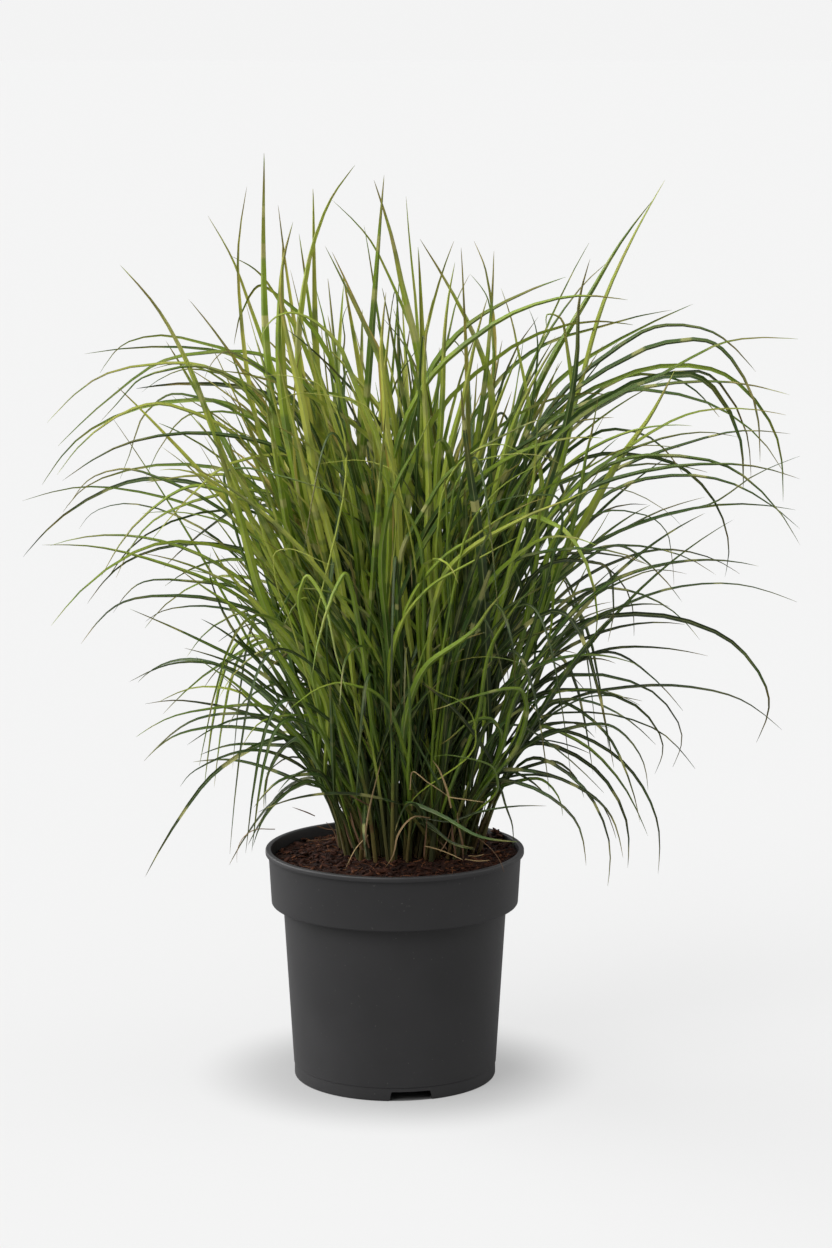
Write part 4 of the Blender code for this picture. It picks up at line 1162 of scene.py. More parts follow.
def leaf_finish(look):
    """Leaf: long fine veins, a pale midrib, pale cross bands on some leaves, browned tips, thin in the light."""
    finish = Finish("grass_leaf")
    lay = finish.node("ShaderNodeUVMap", uv_map=BLADE_LAY).outputs["UV"]
    parts = finish.node("ShaderNodeSeparateXYZ", {"Vector": lay})
    across, reach = parts.outputs["X"], parts.outputs["Y"]
    shade, share, band = (finish.attribute(name) for name in ("shade", "share", "band"))
    underside = finish.math("GREATER_THAN", across, 1.0)
    off_middle = finish.math("ABSOLUTE", finish.math("SUBTRACT", finish.math("FRACT", across), 0.5))

    # Long streaks, broad cloudy changes along the leaf, and the shade of the leaf as a whole
    streaks = finish.noise(finish.vector(finish.math("MULTIPLY", across, 7.0), finish.math("MULTIPLY", reach, 9.0), shade), 1.0, 4.0, 0.7)
    clouds = finish.noise(finish.vector(shade, finish.math("MULTIPLY", reach, 22.0), band), 1.0, 2.0)
    tone = finish.math("MULTIPLY_ADD", finish.math("SUBTRACT", streaks, 0.5), 0.55, shade)
    tone = finish.math("MULTIPLY_ADD", finish.math("SUBTRACT", clouds, 0.5), 0.42, tone)
    tone = finish.math("MULTIPLY_ADD", underside, 0.06, tone)
    colour = finish.ramp(finish.math("MULTIPLY", tone, 0.7), [
        (0.0, look.dark_colour), (0.24, look.deep_colour), (0.46, look.middle_colour),
        (0.76, look.light_colour), (1.0, look.ochre_colour),
    ])
    cool = finish.noise(finish.vector(finish.math("MULTIPLY", shade, 40.0), finish.math("MULTIPLY", band, 40.0)), 1.0, 0.0)
    colour = finish.mix(finish.between(cool, 0.56, 0.66, 0.0, 0.55), colour, opaque(look.cool_colour))
    midrib = finish.between(off_middle, 0.075, 0.025)
    colour = finish.mix(finish.math("MULTIPLY", midrib, 0.55), colour, opaque(look.midrib_colour))

    # Cross bands: unevenly spaced, soft at their ends, left out here and there
    wander = finish.noise(finish.vector(shade, finish.math("MULTIPLY", reach, 16.0), 4.0), 1.0, 1.0)
    step = finish.math("MULTIPLY_ADD", reach, 1.0 / look.band_spacing, finish.math("MULTIPLY", wander, 1.5))
    pulse = finish.math("PINGPONG", step, 0.5)
    pale = finish.math("MULTIPLY", finish.between(pulse, 0.35, 0.43), finish.between(streaks, 0.25, 0.55, 0.55, 1.0))
    pale = finish.math("MULTIPLY", pale, finish.between(share, 0.12, 0.35, 0.3, 0.85))
    marked = finish.between(band, 1.1, 1.6, 0.0, 0.85)
    pale = finish.math("MAXIMUM", finish.math("MULTIPLY", pale, finish.math("MINIMUM", band, 1.0)), marked)
    colour = finish.mix(pale, colour, opaque(look.band_colour))

    # Tips that have turned, and the sheaths at the foot of each stem, where the share is below nothing
    turned = finish.math("MULTIPLY", finish.between(share, 0.72, 1.0, 0.0, 0.8), finish.between(clouds, 0.42, 0.62))
    colour = finish.mix(turned, colour, opaque(look.tip_colour))
    sheath = finish.math("MULTIPLY", share, -1.0, clamp=True)
    sheath_colour = finish.ramp(finish.math("MULTIPLY_ADD", finish.math("SUBTRACT", streaks, 0.5), 0.5, sheath), [
        (0.25, look.sheath_colour), (0.62, [(a + b) / 2 for a, b in zip(look.sheath_colour, look.foot_colour)]),
        (0.95, look.foot_colour),
    ])
    rust = finish.noise(finish.place(), 55.0, 1.0)
    sheath_colour = finish.mix(finish.between(rust, 0.54, 0.64, 0.0, 0.75), sheath_colour, opaque(look.rust_colour))
    own = finish.noise(finish.vector(finish.math("MULTIPLY", shade, 57.0), 3.0), 1.0, 0.0)
    sheath_colour = finish.mix(finish.between(own, 0.40, 0.62, 0.0, 0.80), sheath_colour, opaque(look.dark_colour))
    colour = finish.mix(finish.between(sheath, 0.02, 0.5), colour, sheath_colour)
    finish.link(colour, "Base Color")
    dull = finish.math("MULTIPLY", sheath, 0.35)
    finish.link(finish.math("ADD", finish.between(streaks, 0.2, 0.8, 0.27, 0.44), dull), "Roughness")
    finish.set(IOR=1.45)

    veins = finish.math("SINE", finish.math("MULTIPLY", across, 2.0 * math.pi * 11.0))
    ridges = finish.math("MULTIPLY_ADD", midrib, 3.0, veins)
    normal = finish.bump(ridges, 0.00006, 0.6)
    through_light = finish.node("ShaderNodeBsdfTranslucent", {"Color": finish.mix(0.5, colour, opaque(look.glow_colour)), "Normal": normal})
    both = finish.node("ShaderNodeMixShader", {0: look.translucency, 1: finish.shader.outputs[0], 2: through_light.outputs[0]})
    finish.tree.links.new(both.outputs[0], finish.output.inputs["Surface"])
    return finish.made


def straw_finish(look):
    """Dead leaf: pale tan, streaked and papery."""
    finish = Finish("dry_leaf")
    lay = finish.node("ShaderNodeUVMap", uv_map=BLADE_LAY).outputs["UV"]
    parts = finish.node("ShaderNodeSeparateXYZ", {"Vector": lay})
    shade = finish.attribute("shade")
    streaks = finish.noise(finish.vector(finish.math("MULTIPLY", parts.outputs["X"], 22.0), finish.math("MULTIPLY", parts.outputs["Y"], 30.0), shade), 1.0, 3.0)
    tone = finish.math("MULTIPLY_ADD", finish.math("SUBTRACT", streaks, 0.5), 0.8, shade)
    finish.link(finish.ramp(tone, [(0.1, (0.12, 0.060, 0.026)), (0.5, (0.36, 0.25, 0.11)), (0.9, (0.64, 0.54, 0.30))]), "Base Color")
    finish.set(Roughness=0.75)
    finish.bump(streaks, 0.0002, 0.7)
    return finish.made


def floor_finish(look):
    """A pale floor that glows evenly for the camera, with a painted contact shadow where the glow is weaker round the
    pot; it takes soft shadows, but throws little light back up at the plant.
    """
    finish = Finish("studio_floor")
    faint = finish.noise(finish.place(), 3.0, 2.0)
    seen_directly = finish.node("ShaderNodeLightPath").outputs["Is Camera Ray"]
    pale = [c * (1 - look.floor_glow) for c in look.floor_colour]
    pale = finish.mix(finish.math("MULTIPLY", faint, 0.02), opaque(pale), opaque([c * 0.97 for c in pale]))
    finish.link(finish.mix(seen_directly, opaque(look.floor_bounce), pale), "Base Color")
    finish.set(Roughness=0.9, Specular_IOR_Level=0.0, Emission_Color=opaque(look.backdrop_colour))
    # Painted contact shadow: the glow is weaker close round the pot, and there is none under it.
    away = finish.node("ShaderNodeVectorMath", {0: finish.place()}, operation="LENGTH").outputs["Value"]
    painted_pot_shadow = finish.between(away, BODY_FOOT_RADIUS, look.painted_shadow_reach, 1.0 - look.painted_shadow_share, 1.0)
    outside = finish.math("GREATER_THAN", away, BODY_FOOT_RADIUS - POT_WALL)
    glow = finish.math("MULTIPLY", finish.math("MULTIPLY", painted_pot_shadow, outside), look.floor_glow)
    finish.link(finish.math("MULTIPLY", seen_directly, glow), "Emission Strength")
    return finish.made


# Modelling by hand
def deselect():
    if bpy.context.mode != "OBJECT":
        bpy.ops.object.mode_set(mode="OBJECT")
    bpy.ops.object.select_all(action="DESELECT")


def finish_piece(piece, name, material):
    """Back to object mode: the piece is named, given its material, and shaded smooth but for its corners."""
    bpy.ops.object.mode_set(mode="OBJECT")
    piece.name = piece.data.name = name
    piece.data.materials.append(material)
    bpy.ops.object.shade_smooth_by_angle(angle=math.radians(38))
    bpy.ops.object.transform_apply(location=True, rotation=True, scale=True)
    return piece


def draw_wall(profile):
    """With a ring of edges selected at the profile's first point, draws a wall up through the others."""
    for (radius, height), (wider, higher) in zip(profile, profile[1:]):
        bpy.ops.mesh.extrude_edges_move(TRANSFORM_OT_translate={"value": (0, 0, higher - height)})
        spread = wider / radius
        bpy.ops.transform.resize(value=(spread, spread, 1.0), center_override=(0, 0, higher))


def pick_ring(piece, radius, height):
    """In edit mode, selects the edges of one ring and nothing else."""
    bpy.ops.mesh.select_all(action="DESELECT")
    bpy.ops.mesh.select_mode(type="EDGE")
    shape = bmesh.from_edit_mesh(piece.data)
    for edge in shape.edges:
        ends = [(math.hypot(*v.co.xy), v.co.z) for v in edge.verts]
        on_ring = all(abs(r - radius) < 1e-4 and abs(z - height) < 1e-4 for r, z in ends)
        edge.select_set(on_ring)
    bmesh.update_edit_mesh(piece.data)


def round_ring(piece, corner, size, segments):
    """In edit mode, bevels one ring of edges."""
    pick_ring(piece, *corner)
    bpy.ops.mesh.bevel(offset=size, segments=segments, affect="EDGES")


def inner_wall():
    """The pot's inner wall from the floor up to just under the lip, as (radius, height) points."""
    return [
        (BODY_FOOT_RADIUS + FOOT_BAND_STEP - POT_WALL, FLOOR_HEIGHT + POT_WALL),
        (BODY_TOP_RADIUS - POT_WALL, COLLAR_FOOT_Z + STEP_RISE),
        (COLLAR_FOOT_RADIUS - POT_WALL, COLLAR_FOOT_Z + STEP_RISE + POT_WALL),
        (COLLAR_TOP_RADIUS - POT_WALL, POT_HEIGHT - RIM_HEIGHT),
    ]


def build_pot(look):
    """One wall drawn round from a disc: up inside the foot, down, out, and all the way up and in again."""
    deselect()
    foot = BODY_FOOT_RADIUS - POT_WALL - FOOT_EDGE
    outside = [
        (foot, FLOOR_HEIGHT),
        (foot, 0.0),
        (BODY_FOOT_RADIUS, 0.0),
        (BODY_FOOT_RADIUS, FOOT_BAND - FOOT_BAND_STEP),
        (BODY_FOOT_RADIUS + FOOT_BAND_STEP, FOOT_BAND),
        (BODY_TOP_RADIUS, COLLAR_FOOT_Z + STEP_RISE),
        (COLLAR_FOOT_RADIUS, COLLAR_FOOT_Z),
        (COLLAR_TOP_RADIUS, POT_HEIGHT - RIM_HEIGHT),
        (RIM_RADIUS, POT_HEIGHT - RIM_HEIGHT),
        (RIM_RADIUS, POT_HEIGHT),
        (COLLAR_TOP_RADIUS - POT_WALL, POT_HEIGHT),
    ]
    bpy.ops.mesh.primitive_circle_add(
        vertices=POT_SIDES, radius=foot, fill_type="NGON", location=(0, 0, FLOOR_HEIGHT),
    )
    piece = bpy.context.object
    bpy.ops.object.transform_apply(location=True, rotation=True, scale=True)
    bpy.ops.object.mode_set(mode="EDIT")
    pick_ring(piece, *outside[0])
    draw_wall(outside + inner_wall()[::-1])
    bpy.ops.mesh.edge_face_add()
    for corner, size, segments in (
        ((BODY_FOOT_RADIUS, 0.0), look.foot_rounding, 5),
        ((COLLAR_FOOT_RADIUS, COLLAR_FOOT_Z), look.collar_rounding, 5),
        ((RIM_RADIUS, POT_HEIGHT), look.lip_rounding, 5),
        ((RIM_RADIUS, POT_HEIGHT - RIM_HEIGHT), look.lip_rounding / 3, 3),
        ((COLLAR_TOP_RADIUS, POT_HEIGHT - RIM_HEIGHT), look.lip_rounding / 3, 3),
        ((COLLAR_TOP_RADIUS - POT_WALL, POT_HEIGHT), look.lip_rounding / 2, 3),
        ((BODY_TOP_RADIUS, COLLAR_FOOT_Z + STEP_RISE), look.lip_rounding / 2, 3),
    ):
        round_ring(piece, corner, size, segments)
    bpy.ops.mesh.select_all(action="SELECT")
    bpy.ops.mesh.normals_make_consistent(inside=False)
    bpy.ops.object.mode_set(mode="OBJECT")
    cut_notches(piece)
    bpy.context.view_layer.objects.active = piece
    piece.select_set(True)
    finish_piece(piece, "nursery_pot", pot_finish(look))
    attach(piece, ROOT)
    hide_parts("pot")


def cut_notches(piece):
    """Cuts the drain notches out of the foot with one block, narrowed at its top, turned to each place."""
    for index in range(NOTCH_COUNT):
        deselect()
        bpy.ops.mesh.primitive_cube_add(size=1.0)
        cutter = bpy.context.object
        cutter.scale = (NOTCH_FOOT_WIDTH, 0.018, NOTCH_HEIGHT + 0.002)
        cutter.location = (0, -BODY_FOOT_RADIUS + 0.003, NOTCH_HEIGHT / 2 - 0.001)
        bpy.ops.object.transform_apply(location=True, rotation=True, scale=True)
        bpy.ops.object.mode_set(mode="EDIT")
        shape = bmesh.from_edit_mesh(cutter.data)
        for face in shape.faces:
            face.select_set(face.normal.z > 0.9)
        bmesh.update_edit_mesh(cutter.data)
        bpy.ops.transform.resize(value=(NOTCH_TOP_WIDTH / NOTCH_FOOT_WIDTH, 1, 1))
        bpy.ops.mesh.bevel(offset=0.0012, segments=3, affect="EDGES")
        bpy.ops.object.mode_set(mode="OBJECT")
        cutter.rotation_euler.z = math.radians(FRONT_NOTCH_ANGLE) + index * math.tau / NOTCH_COUNT
        deselect()
        bpy.context.view_layer.objects.active = piece
        piece.select_set(True)
        cut = piece.modifiers.new("notch", "BOOLEAN")
        cut.object = cutter
        cut.operation = "DIFFERENCE"
        bpy.ops.object.modifier_apply(modifier=cut.name)
        bpy.data.objects.remove(cutter)


# Soil
def soil_height(x, y, lump=0.0):
    """The height of the soil's top: flat in the crown, lower towards the left, up to the rim at the right."""
    across = math.hypot((x - CROWN_X) / CROWN_HALF_WIDTH, (y - CROWN_Y) / CROWN_HALF_DEPTH)
    reach = min(1.0, max(0.0, (across - CROWN_FLAT) / 0.55))
    reach = reach * reach * (3 - 2 * reach)
    edge = SOIL_EDGE_Z + SOIL_RIGHT_RISE * max(0.0, math.cos(math.atan2(y, x) - math.radians(35)))
    return SOIL_CROWN_Z + (edge + lump - SOIL_CROWN_Z) * reach


def rough_height(x, y):
    """The soil's height with its lumps and crumbs."""
    lumps = noise.noise((x * 62, y * 62, 0.3)) * SOIL_LUMP
    crumbs = noise.noise((x * 240, y * 240, 1.7)) * SOIL_LUMP * 0.75
    return soil_height(x, y) + lumps + crumbs - SOIL_LUMP * 0.4


def soil_top_radius():
    wall = [(radius - 1.3 * GAP, height + 1.3 * GAP) for radius, height in inner_wall()]
    slope = (wall[3][0] - wall[2][0]) / (wall[3][1] - wall[2][1])
    return wall, wall[2][0] + slope * (SOIL_EDGE_Z - SOIL_LUMP - wall[2][1])


def build_soil(look):
    """A disc inset ring after ring for its top, with its side drawn down the inside of the pot."""
    deselect()
    wall, radius = soil_top_radius()
    bpy.ops.mesh.primitive_circle_add(
        vertices=POT_SIDES, radius=radius, fill_type="NGON", location=(0, 0, SOIL_EDGE_Z),
    )
    piece = bpy.context.object
    bpy.ops.object.transform_apply(location=True, rotation=True, scale=True)
    bpy.ops.object.mode_set(mode="EDIT")
    bpy.ops.mesh.select_all(action="SELECT")
    for ring in range(SOIL_RINGS):
        bpy.ops.mesh.inset(thickness=radius / (SOIL_RINGS + 1))
    bpy.ops.mesh.poke()
    pick_ring(piece, radius, SOIL_EDGE_Z)
    draw_wall([(radius, SOIL_EDGE_Z)] + wall[:3][::-1])
    bpy.ops.mesh.edge_face_add()
    shape = bmesh.from_edit_mesh(piece.data)
    for corner in shape.verts:
        if corner.co.z > SOIL_EDGE_Z - 1e-5:
            corner.co.z = rough_height(corner.co.x, corner.co.y)
    bpy.ops.mesh.select_all(action="SELECT")
    bpy.ops.mesh.normals_make_consistent(inside=False)
    bmesh.update_edit_mesh(piece.data)
    finish_piece(piece, "potting_mix", soil_finish(look))
    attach(piece, ROOT)
    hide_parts("soil")


def soil_places(rng, count, radius):
    """Places spread evenly over the top of the soil."""
    for index in range(count):
        turn, reach = rng.uniform(0, math.tau), radius * math.sqrt(rng.random())
        yield reach * math.cos(turn), reach * math.sin(turn)


# Crumbs heaped up against the rim at the back right: (direction in degrees, height over the soil, size)
HEAP_RADIUS = 0.111
HEAP = (
    (26, 0.000, 0.0024), (30, 0.000, 0.0028), (34, 0.000, 0.0026),
    (28, 0.0025, 0.0024), (32, 0.0028, 0.0026), (31, 0.0052, 0.0022),
)


def build_crumbs(look):
    """Crumbs of bark: small uneven lumps of a dozen faces or so, half sunk in the soil."""
    rng = random.Random(SOIL_SEED)
    strips = Strips()
    radius = soil_top_radius()[1] - 0.003
    heap = [(turn, lift, size) for turn, lift, size in HEAP for repeat in range(2)]
    places = [(x, y, 0.0, 0.0) for x, y in soil_places(rng, look.crumbs, radius)]
    for turn, lift, size in heap:
        turn = math.radians(turn) + rng.uniform(-0.012, 0.012)
        places.append((HEAP_RADIUS * math.cos(turn), HEAP_RADIUS * math.sin(turn), lift, size))
    for x, y, lift, size in places:
        size = size or rng.uniform(0.0007, 0.0022) * (1.7 if rng.random() < 0.08 else 1.0)
        long = size * rng.uniform(1.0, 2.6)
        way = np.array([rng.uniform(-1, 1), rng.uniform(-1, 1), rng.uniform(-0.35, 0.35)])
        way = unit(way)
        side = unit(np.cross(way, (0, 0, 1)))
        rise = np.cross(side, way)
        middle = np.array([x, y, rough_height(x, y) + lift + size * rng.uniform(0.0, 0.7)])
        rings = []
        for place, wide in ((-1.0, 0.45), (-0.45, 0.95), (0.4, 1.0), (1.0, 0.4)):
            ring = []
            for corner in range(6):
                turn = corner * math.tau / 6 + rng.uniform(-0.3, 0.3)
                reach = size * wide * rng.uniform(0.7, 1.1)
                ring.append(middle + way * place * long + (side * math.cos(turn) + rise * math.sin(turn) * 0.7) * reach)
            rings.append(ring)
        shade = min(1.0, abs(rng.gauss(0.22, 0.2)))
        strips.add(np.array(rings), np.linspace(0, 2, 7), np.linspace(0, 2 * long, 4), shade, np.zeros(4))
    return dress_soil(strips, "soil_crumbs", crumb_finish(look, "bark_crumb", 1.0))


def build_fibres(look):
    """Fibres of bark and coir: thin bent threads that lie on the soil, some with an end in the air."""
    rng = random.Random(SOIL_SEED + 1)
    strips = Strips()
    radius = soil_top_radius()[1] - 0.004
    for x, y in soil_places(rng, look.fibres, radius):
        long = rng.uniform(0.004, 0.013) * (1.8 if rng.random() < 0.1 else 1.0)
        thick = rng.uniform(0.00016, 0.00042)
        turn = rng.uniform(0, math.tau)
        bend = rng.uniform(-1.6, 1.6)
        lift = rng.uniform(0.0, 0.0025)
        ways = turn + bend * np.linspace(-0.5, 0.5, 5)
        step = long / 5
        path = np.zeros((6, 3))
        path[1:, 0] = np.cumsum(np.cos(ways) * step)
        path[1:, 1] = np.cumsum(np.sin(ways) * step)
        path[:, :2] += (x, y) - path[:, :2].mean(axis=0)
        away = np.hypot(path[:, 0], path[:, 1])
        if away.max() > radius:
            continue
        for place, (px, py) in enumerate(path[:, :2]):
            path[place, 2] = rough_height(px, py) + thick + lift * (place / 5) ** 2
        path[0, 2] -= 0.0006
        stops, centre, edge, upper = framed(path, 4, (0.0, 1.0))
        radii = (thick * np.interp(stops, [0, 0.3, 0.7, 1.0], [0.7, 1.0, 0.9, 0.4]))[:, None]
        turns = np.arange(4) * math.tau / 4
        rings = np.stack([centre + (edge * math.cos(a) + upper * math.sin(a)) * radii for a in turns], axis=1)
        shade = min(1.2, abs(rng.gauss(0.5, 0.3)))
        strips.add(rings, np.linspace(0, 2, 5), stops * long, shade, stops * 0)
    return dress_soil(strips, "soil_fibres", crumb_finish(look, "bark_fibre", 1.2))


def dress_soil(strips, name, finish):
    piece = strips.piece(name, finish)
    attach(piece, ROOT)
    return piece


# Grass: leaves that only the dressed clump has
AROUND_LEAF = 0.0032
AROUND_SHADE = 0.15
NEAR_REACH = 1.7
VIEW_CELL = 4
CROSSING_SHARE = 0.14
FAR_WIDTH = 0.84
TALL_SHARE = 0.05
RIGHT_LESS = 0.28
FOUNTAIN_HEIGHTS = (0.0, 0.05, 0.14, 0.24, 0.33, 0.42, 0.48, 0.53, 0.58, 0.63, 0.67)
FOUNTAIN_RADII = (0.080, 0.092, 0.118, 0.154, 0.192, 0.222, 0.222, 0.196, 0.148, 0.074, 0.015)


def in_fountain(path, reach):
    """True where a leaf stays in the clump's dense fountain, made wider by reach, and above the rim."""
    away = np.hypot(path[:, 0] - CROWN_X, path[:, 1] - CROWN_Y)
    height = path[:, 2] - SOIL_CROWN_Z
    limit = np.interp(height, FOUNTAIN_HEIGHTS, FOUNTAIN_RADII) * reach
    limit = limit * (1 - RIGHT_LESS * np.clip((path[:, 0] - CROWN_X) / 0.08, 0, 1))
    return bool((away < limit).all() and (height[8:] > 0.008).all() and within_span(path))


def turned_path(path, root, turn, scale):
    """The path moved to another root, turned about the upright through it, and made shorter."""
    gone = path - path[0]
    cosine, sine = math.cos(turn), math.sin(turn)
    spun = np.column_stack([gone[:, 0] * cosine - gone[:, 1] * sine, gone[:, 0] * sine + gone[:, 1] * cosine, gone[:, 2]])
    return root + spun * scale


def upright_shade(path):
    """Leaves that stand up high are yellower, and those that hang out low and far are darker. Painted light makes
    leaves at the left lighter, and painted shade makes high leaves at the right darker.
    """
    height = (path[-1][2] - SOIL_CROWN_Z) / 0.62
    away = math.hypot(path[-1][0] - CROWN_X, path[-1][1] - CROWN_Y) / 0.34
    left = min(1.0, max(0.0, (CROWN_X - path[len(path) // 2][0]) / 0.12))
    right = min(1.0, max(0.0, (path[len(path) // 2][0] - CROWN_X) / 0.12))
    return 0.30 + 0.46 * height - 0.27 * away + 0.38 * left - 0.16 * right * height


def draw_width(look, rng, path):
    """A leaf's width: leaves low in the clump are narrower, and those that stand up high are broader."""
    wide = float(np.interp(path[-1][2] - SOIL_CROWN_Z, (0.0, 0.34, 0.58), (0.62, 0.96, 1.34)))
    return look.leaf_width * rng.uniform(0.45, 1.30) * wide


def apparent(path, width):
    """The width of a traced leaf: those that stand up high look broader than their solids, those far out thinner."""
    high = float(np.interp(path[-1][2], (0.45, 0.60), (1.0, 1.25)))
    return width * float(np.interp(abs(path[-1][0] - CROWN_X), (0.14, 0.24), (high, FAR_WIDTH)))


def draw_band(look, rng):
    """How strongly a leaf's cross bands show."""
    return rng.uniform(0.4, 1.0) if rng.random() < look.banded_share else rng.uniform(0.0, 0.25)


def draw_droop(look, rng):
    """How far a leaf bends over along its length: most a little, some right over."""
    return rng.uniform(0.9, 1.9) if rng.random() < look.drooping_share else abs(rng.gauss(0.30, 0.35))


def grow_tiller(strips, path, look, rng, leaves, view):
    """A stem along the start of the path, the long leaf that it runs on into, and leaves from its sides."""
    shade = upright_shade(path) + rng.gauss(0, look.shade_spread)
    band = draw_band(look, rng)
    width = max(0.72 * look.leaf_width, draw_width(look, rng, path))
    add_stem(strips, path, 0.40, STEM_WIDTH / 2 * rng.uniform(0.50, 0.85), 0.0012, shade, rng)
    upper = path[int(0.22 * len(path)):]
    twist = (rng.uniform(-0.5, 0.5), rng.uniform(-1.1, 1.1))
    add_blade(strips, upper, width, twist, look.rings, shade, band, rng, rng.uniform(0.3, 1.0))
    grow_leaves(strips, path, look, rng, leaves, view)
    grow_low_leaves(strips, path, look, rng, look.low_leaves, view)


def grow_leaves(strips, path, look, rng, count, view):
    """Leaves out of a stem, one side and the other, which lean out, bend over and droop."""
    lean_turn = math.atan2(*(path[-1] - path[0])[[1, 0]])
    made = 0
    for attempt in range(count * 6):
        if made >= count:
            break
        start, way = along(path, 0.05 + 0.33 * (made + rng.random()) / count)
        hand = 1 if (made + attempt) % 2 else -1
        turn = lean_turn + hand * abs(rng.gauss(1.3, 0.9))
        lean = math.acos(max(-1.0, min(1.0, way[2]))) + rng.uniform(0.02, 0.26)
        droop = lean + draw_droop(look, rng)
        long = rng.uniform(look.shortest_leaf, look.longest_leaf)
        if rng.random() < TALL_SHARE:
            lean = lean * rng.uniform(0.5, 1.4)
            droop, long = lean + abs(rng.gauss(0.15, 0.25)), 1.2 * long
        leaf = arching(start, turn, lean, min(2.6, droop), long)
        reach = 0.80 + abs(rng.gauss(0, look.stray_reach))
        if not in_fountain(leaf, reach) or view.hidden_by(leaf):
            continue
        made += 1
        shade = upright_shade(leaf) + rng.gauss(0, look.shade_spread)
        twist = (rng.uniform(-0.3, 0.3), rng.uniform(-1.1, 1.1))
        width, band = draw_width(look, rng, leaf), draw_band(look, rng)
        add_blade(strips, leaf, width, twist, look.rings - 2, shade, band, rng, rng.uniform(0.3, 1.0))


def grow_low_leaves(strips, path, look, rng, count, view):
    """Short leaves from the foot of a stem, which spread over the edge of the clump."""
    outward = math.atan2(path[0][1] - CROWN_Y, path[0][0] - CROWN_X)
    for attempt in range(count * 4):
        if count <= 0:
            break
        start, way = along(path, rng.uniform(0.004, 0.05))
        lean = math.acos(max(-1.0, min(1.0, way[2]))) + rng.uniform(0.05, 0.45)
        droop = min(2.4, lean + abs(rng.gauss(0.5, 0.5)))
        leaf = arching(start, outward + rng.gauss(0, 0.8), lean, droop, rng.uniform(0.12, 0.30))
        if not in_fountain(leaf, 1.15) or view.hidden_by(leaf):
            continue
        count -= 1
        shade = upright_shade(leaf) + rng.gauss(0, look.shade_spread)
        width = rng.uniform(look.leaf_width * 0.45, look.leaf_width * 0.9)
        twist = (rng.uniform(-0.3, 0.3), rng.uniform(-1.1, 1.1))
        add_blade(strips, leaf, width, twist, look.rings - 3, shade, 0.1, rng, rng.uniform(0.3, 1.0))


class FrontView:
    """Where the traced front leaves lie in the picture, so that no other leaf is grown over them."""

    def __init__(self):
        self.depths = np.full((PHOTO_HEIGHT // VIEW_CELL + 3, PHOTO_WIDTH // VIEW_CELL + 3), -9.0)

    def cells(self, path):
        """The row and the column of the picture's cells that the points of a path lie in."""
        gone = path - np.array([CAMERA_X, CAMERA_Y, CAMERA_Z])
        sine, cosine = math.sin(CAMERA_PITCH), math.cos(CAMERA_PITCH)
        ahead = gone[:, 1] * cosine - gone[:, 2] * sine
        rise = gone[:, 1] * sine + gone[:, 2] * cosine
        u = PHOTO_WIDTH / 2 + FOCAL_PIXELS * gone[:, 0] / ahead
        v = PHOTO_HEIGHT / 2 - FOCAL_PIXELS * rise / ahead
        rows = np.clip(v / VIEW_CELL, 0, PHOTO_HEIGHT // VIEW_CELL).astype(int) + 1
        return rows, np.clip(u / VIEW_CELL, 0, PHOTO_WIDTH // VIEW_CELL).astype(int) + 1

    def keep(self, path):
        shown = path[int(0.25 * len(path)):]
        rows, columns = self.cells(shown)
        for down in (-1, 0, 1):
            for right in (-1, 0, 1):
                np.maximum.at(self.depths, (rows + down, columns + right), shown[:, 1])

    def hidden_by(self, path):
        """True if the path runs in front of a traced leaf for more than a short crossing."""
        return bool((path[:, 1] < self.depths[self.cells(path)] - 0.001).mean() > CROSSING_SHARE)


def near_path(shoot, depth, pixels):
    """A leaf of the front, from the shoot's stem through its pixels."""
    root = seen(*pixels[-1], CROWN_Y - CROWN_HALF_DEPTH / 2)
    wished = SOIL_CROWN_Z + max(0.02, 0.45 * (root[2] - SOIL_CROWN_Z))
    share = float(np.argmax(shoot.path[:, 2] > wished)) / len(shoot.path)
    start, way = along(shoot.path, max(0.02, share))
    return traced_path(start, way, pixels, NEAR_REACH * depth / 1000)


def nearest_shoot(shoots, pixels):
    """The shoot at the front of the crown whose foot lies below the leaf's root."""
    root = seen(*pixels[-1], CROWN_Y - CROWN_HALF_DEPTH / 2)
    wished = np.array([CROWN_X + 0.5 * (root[0] - CROWN_X), CROWN_Y - CROWN_HALF_DEPTH * 0.7])
    return min(shoots, key=lambda shoot: float(np.hypot(*(shoot.path[0][:2] - wished))))


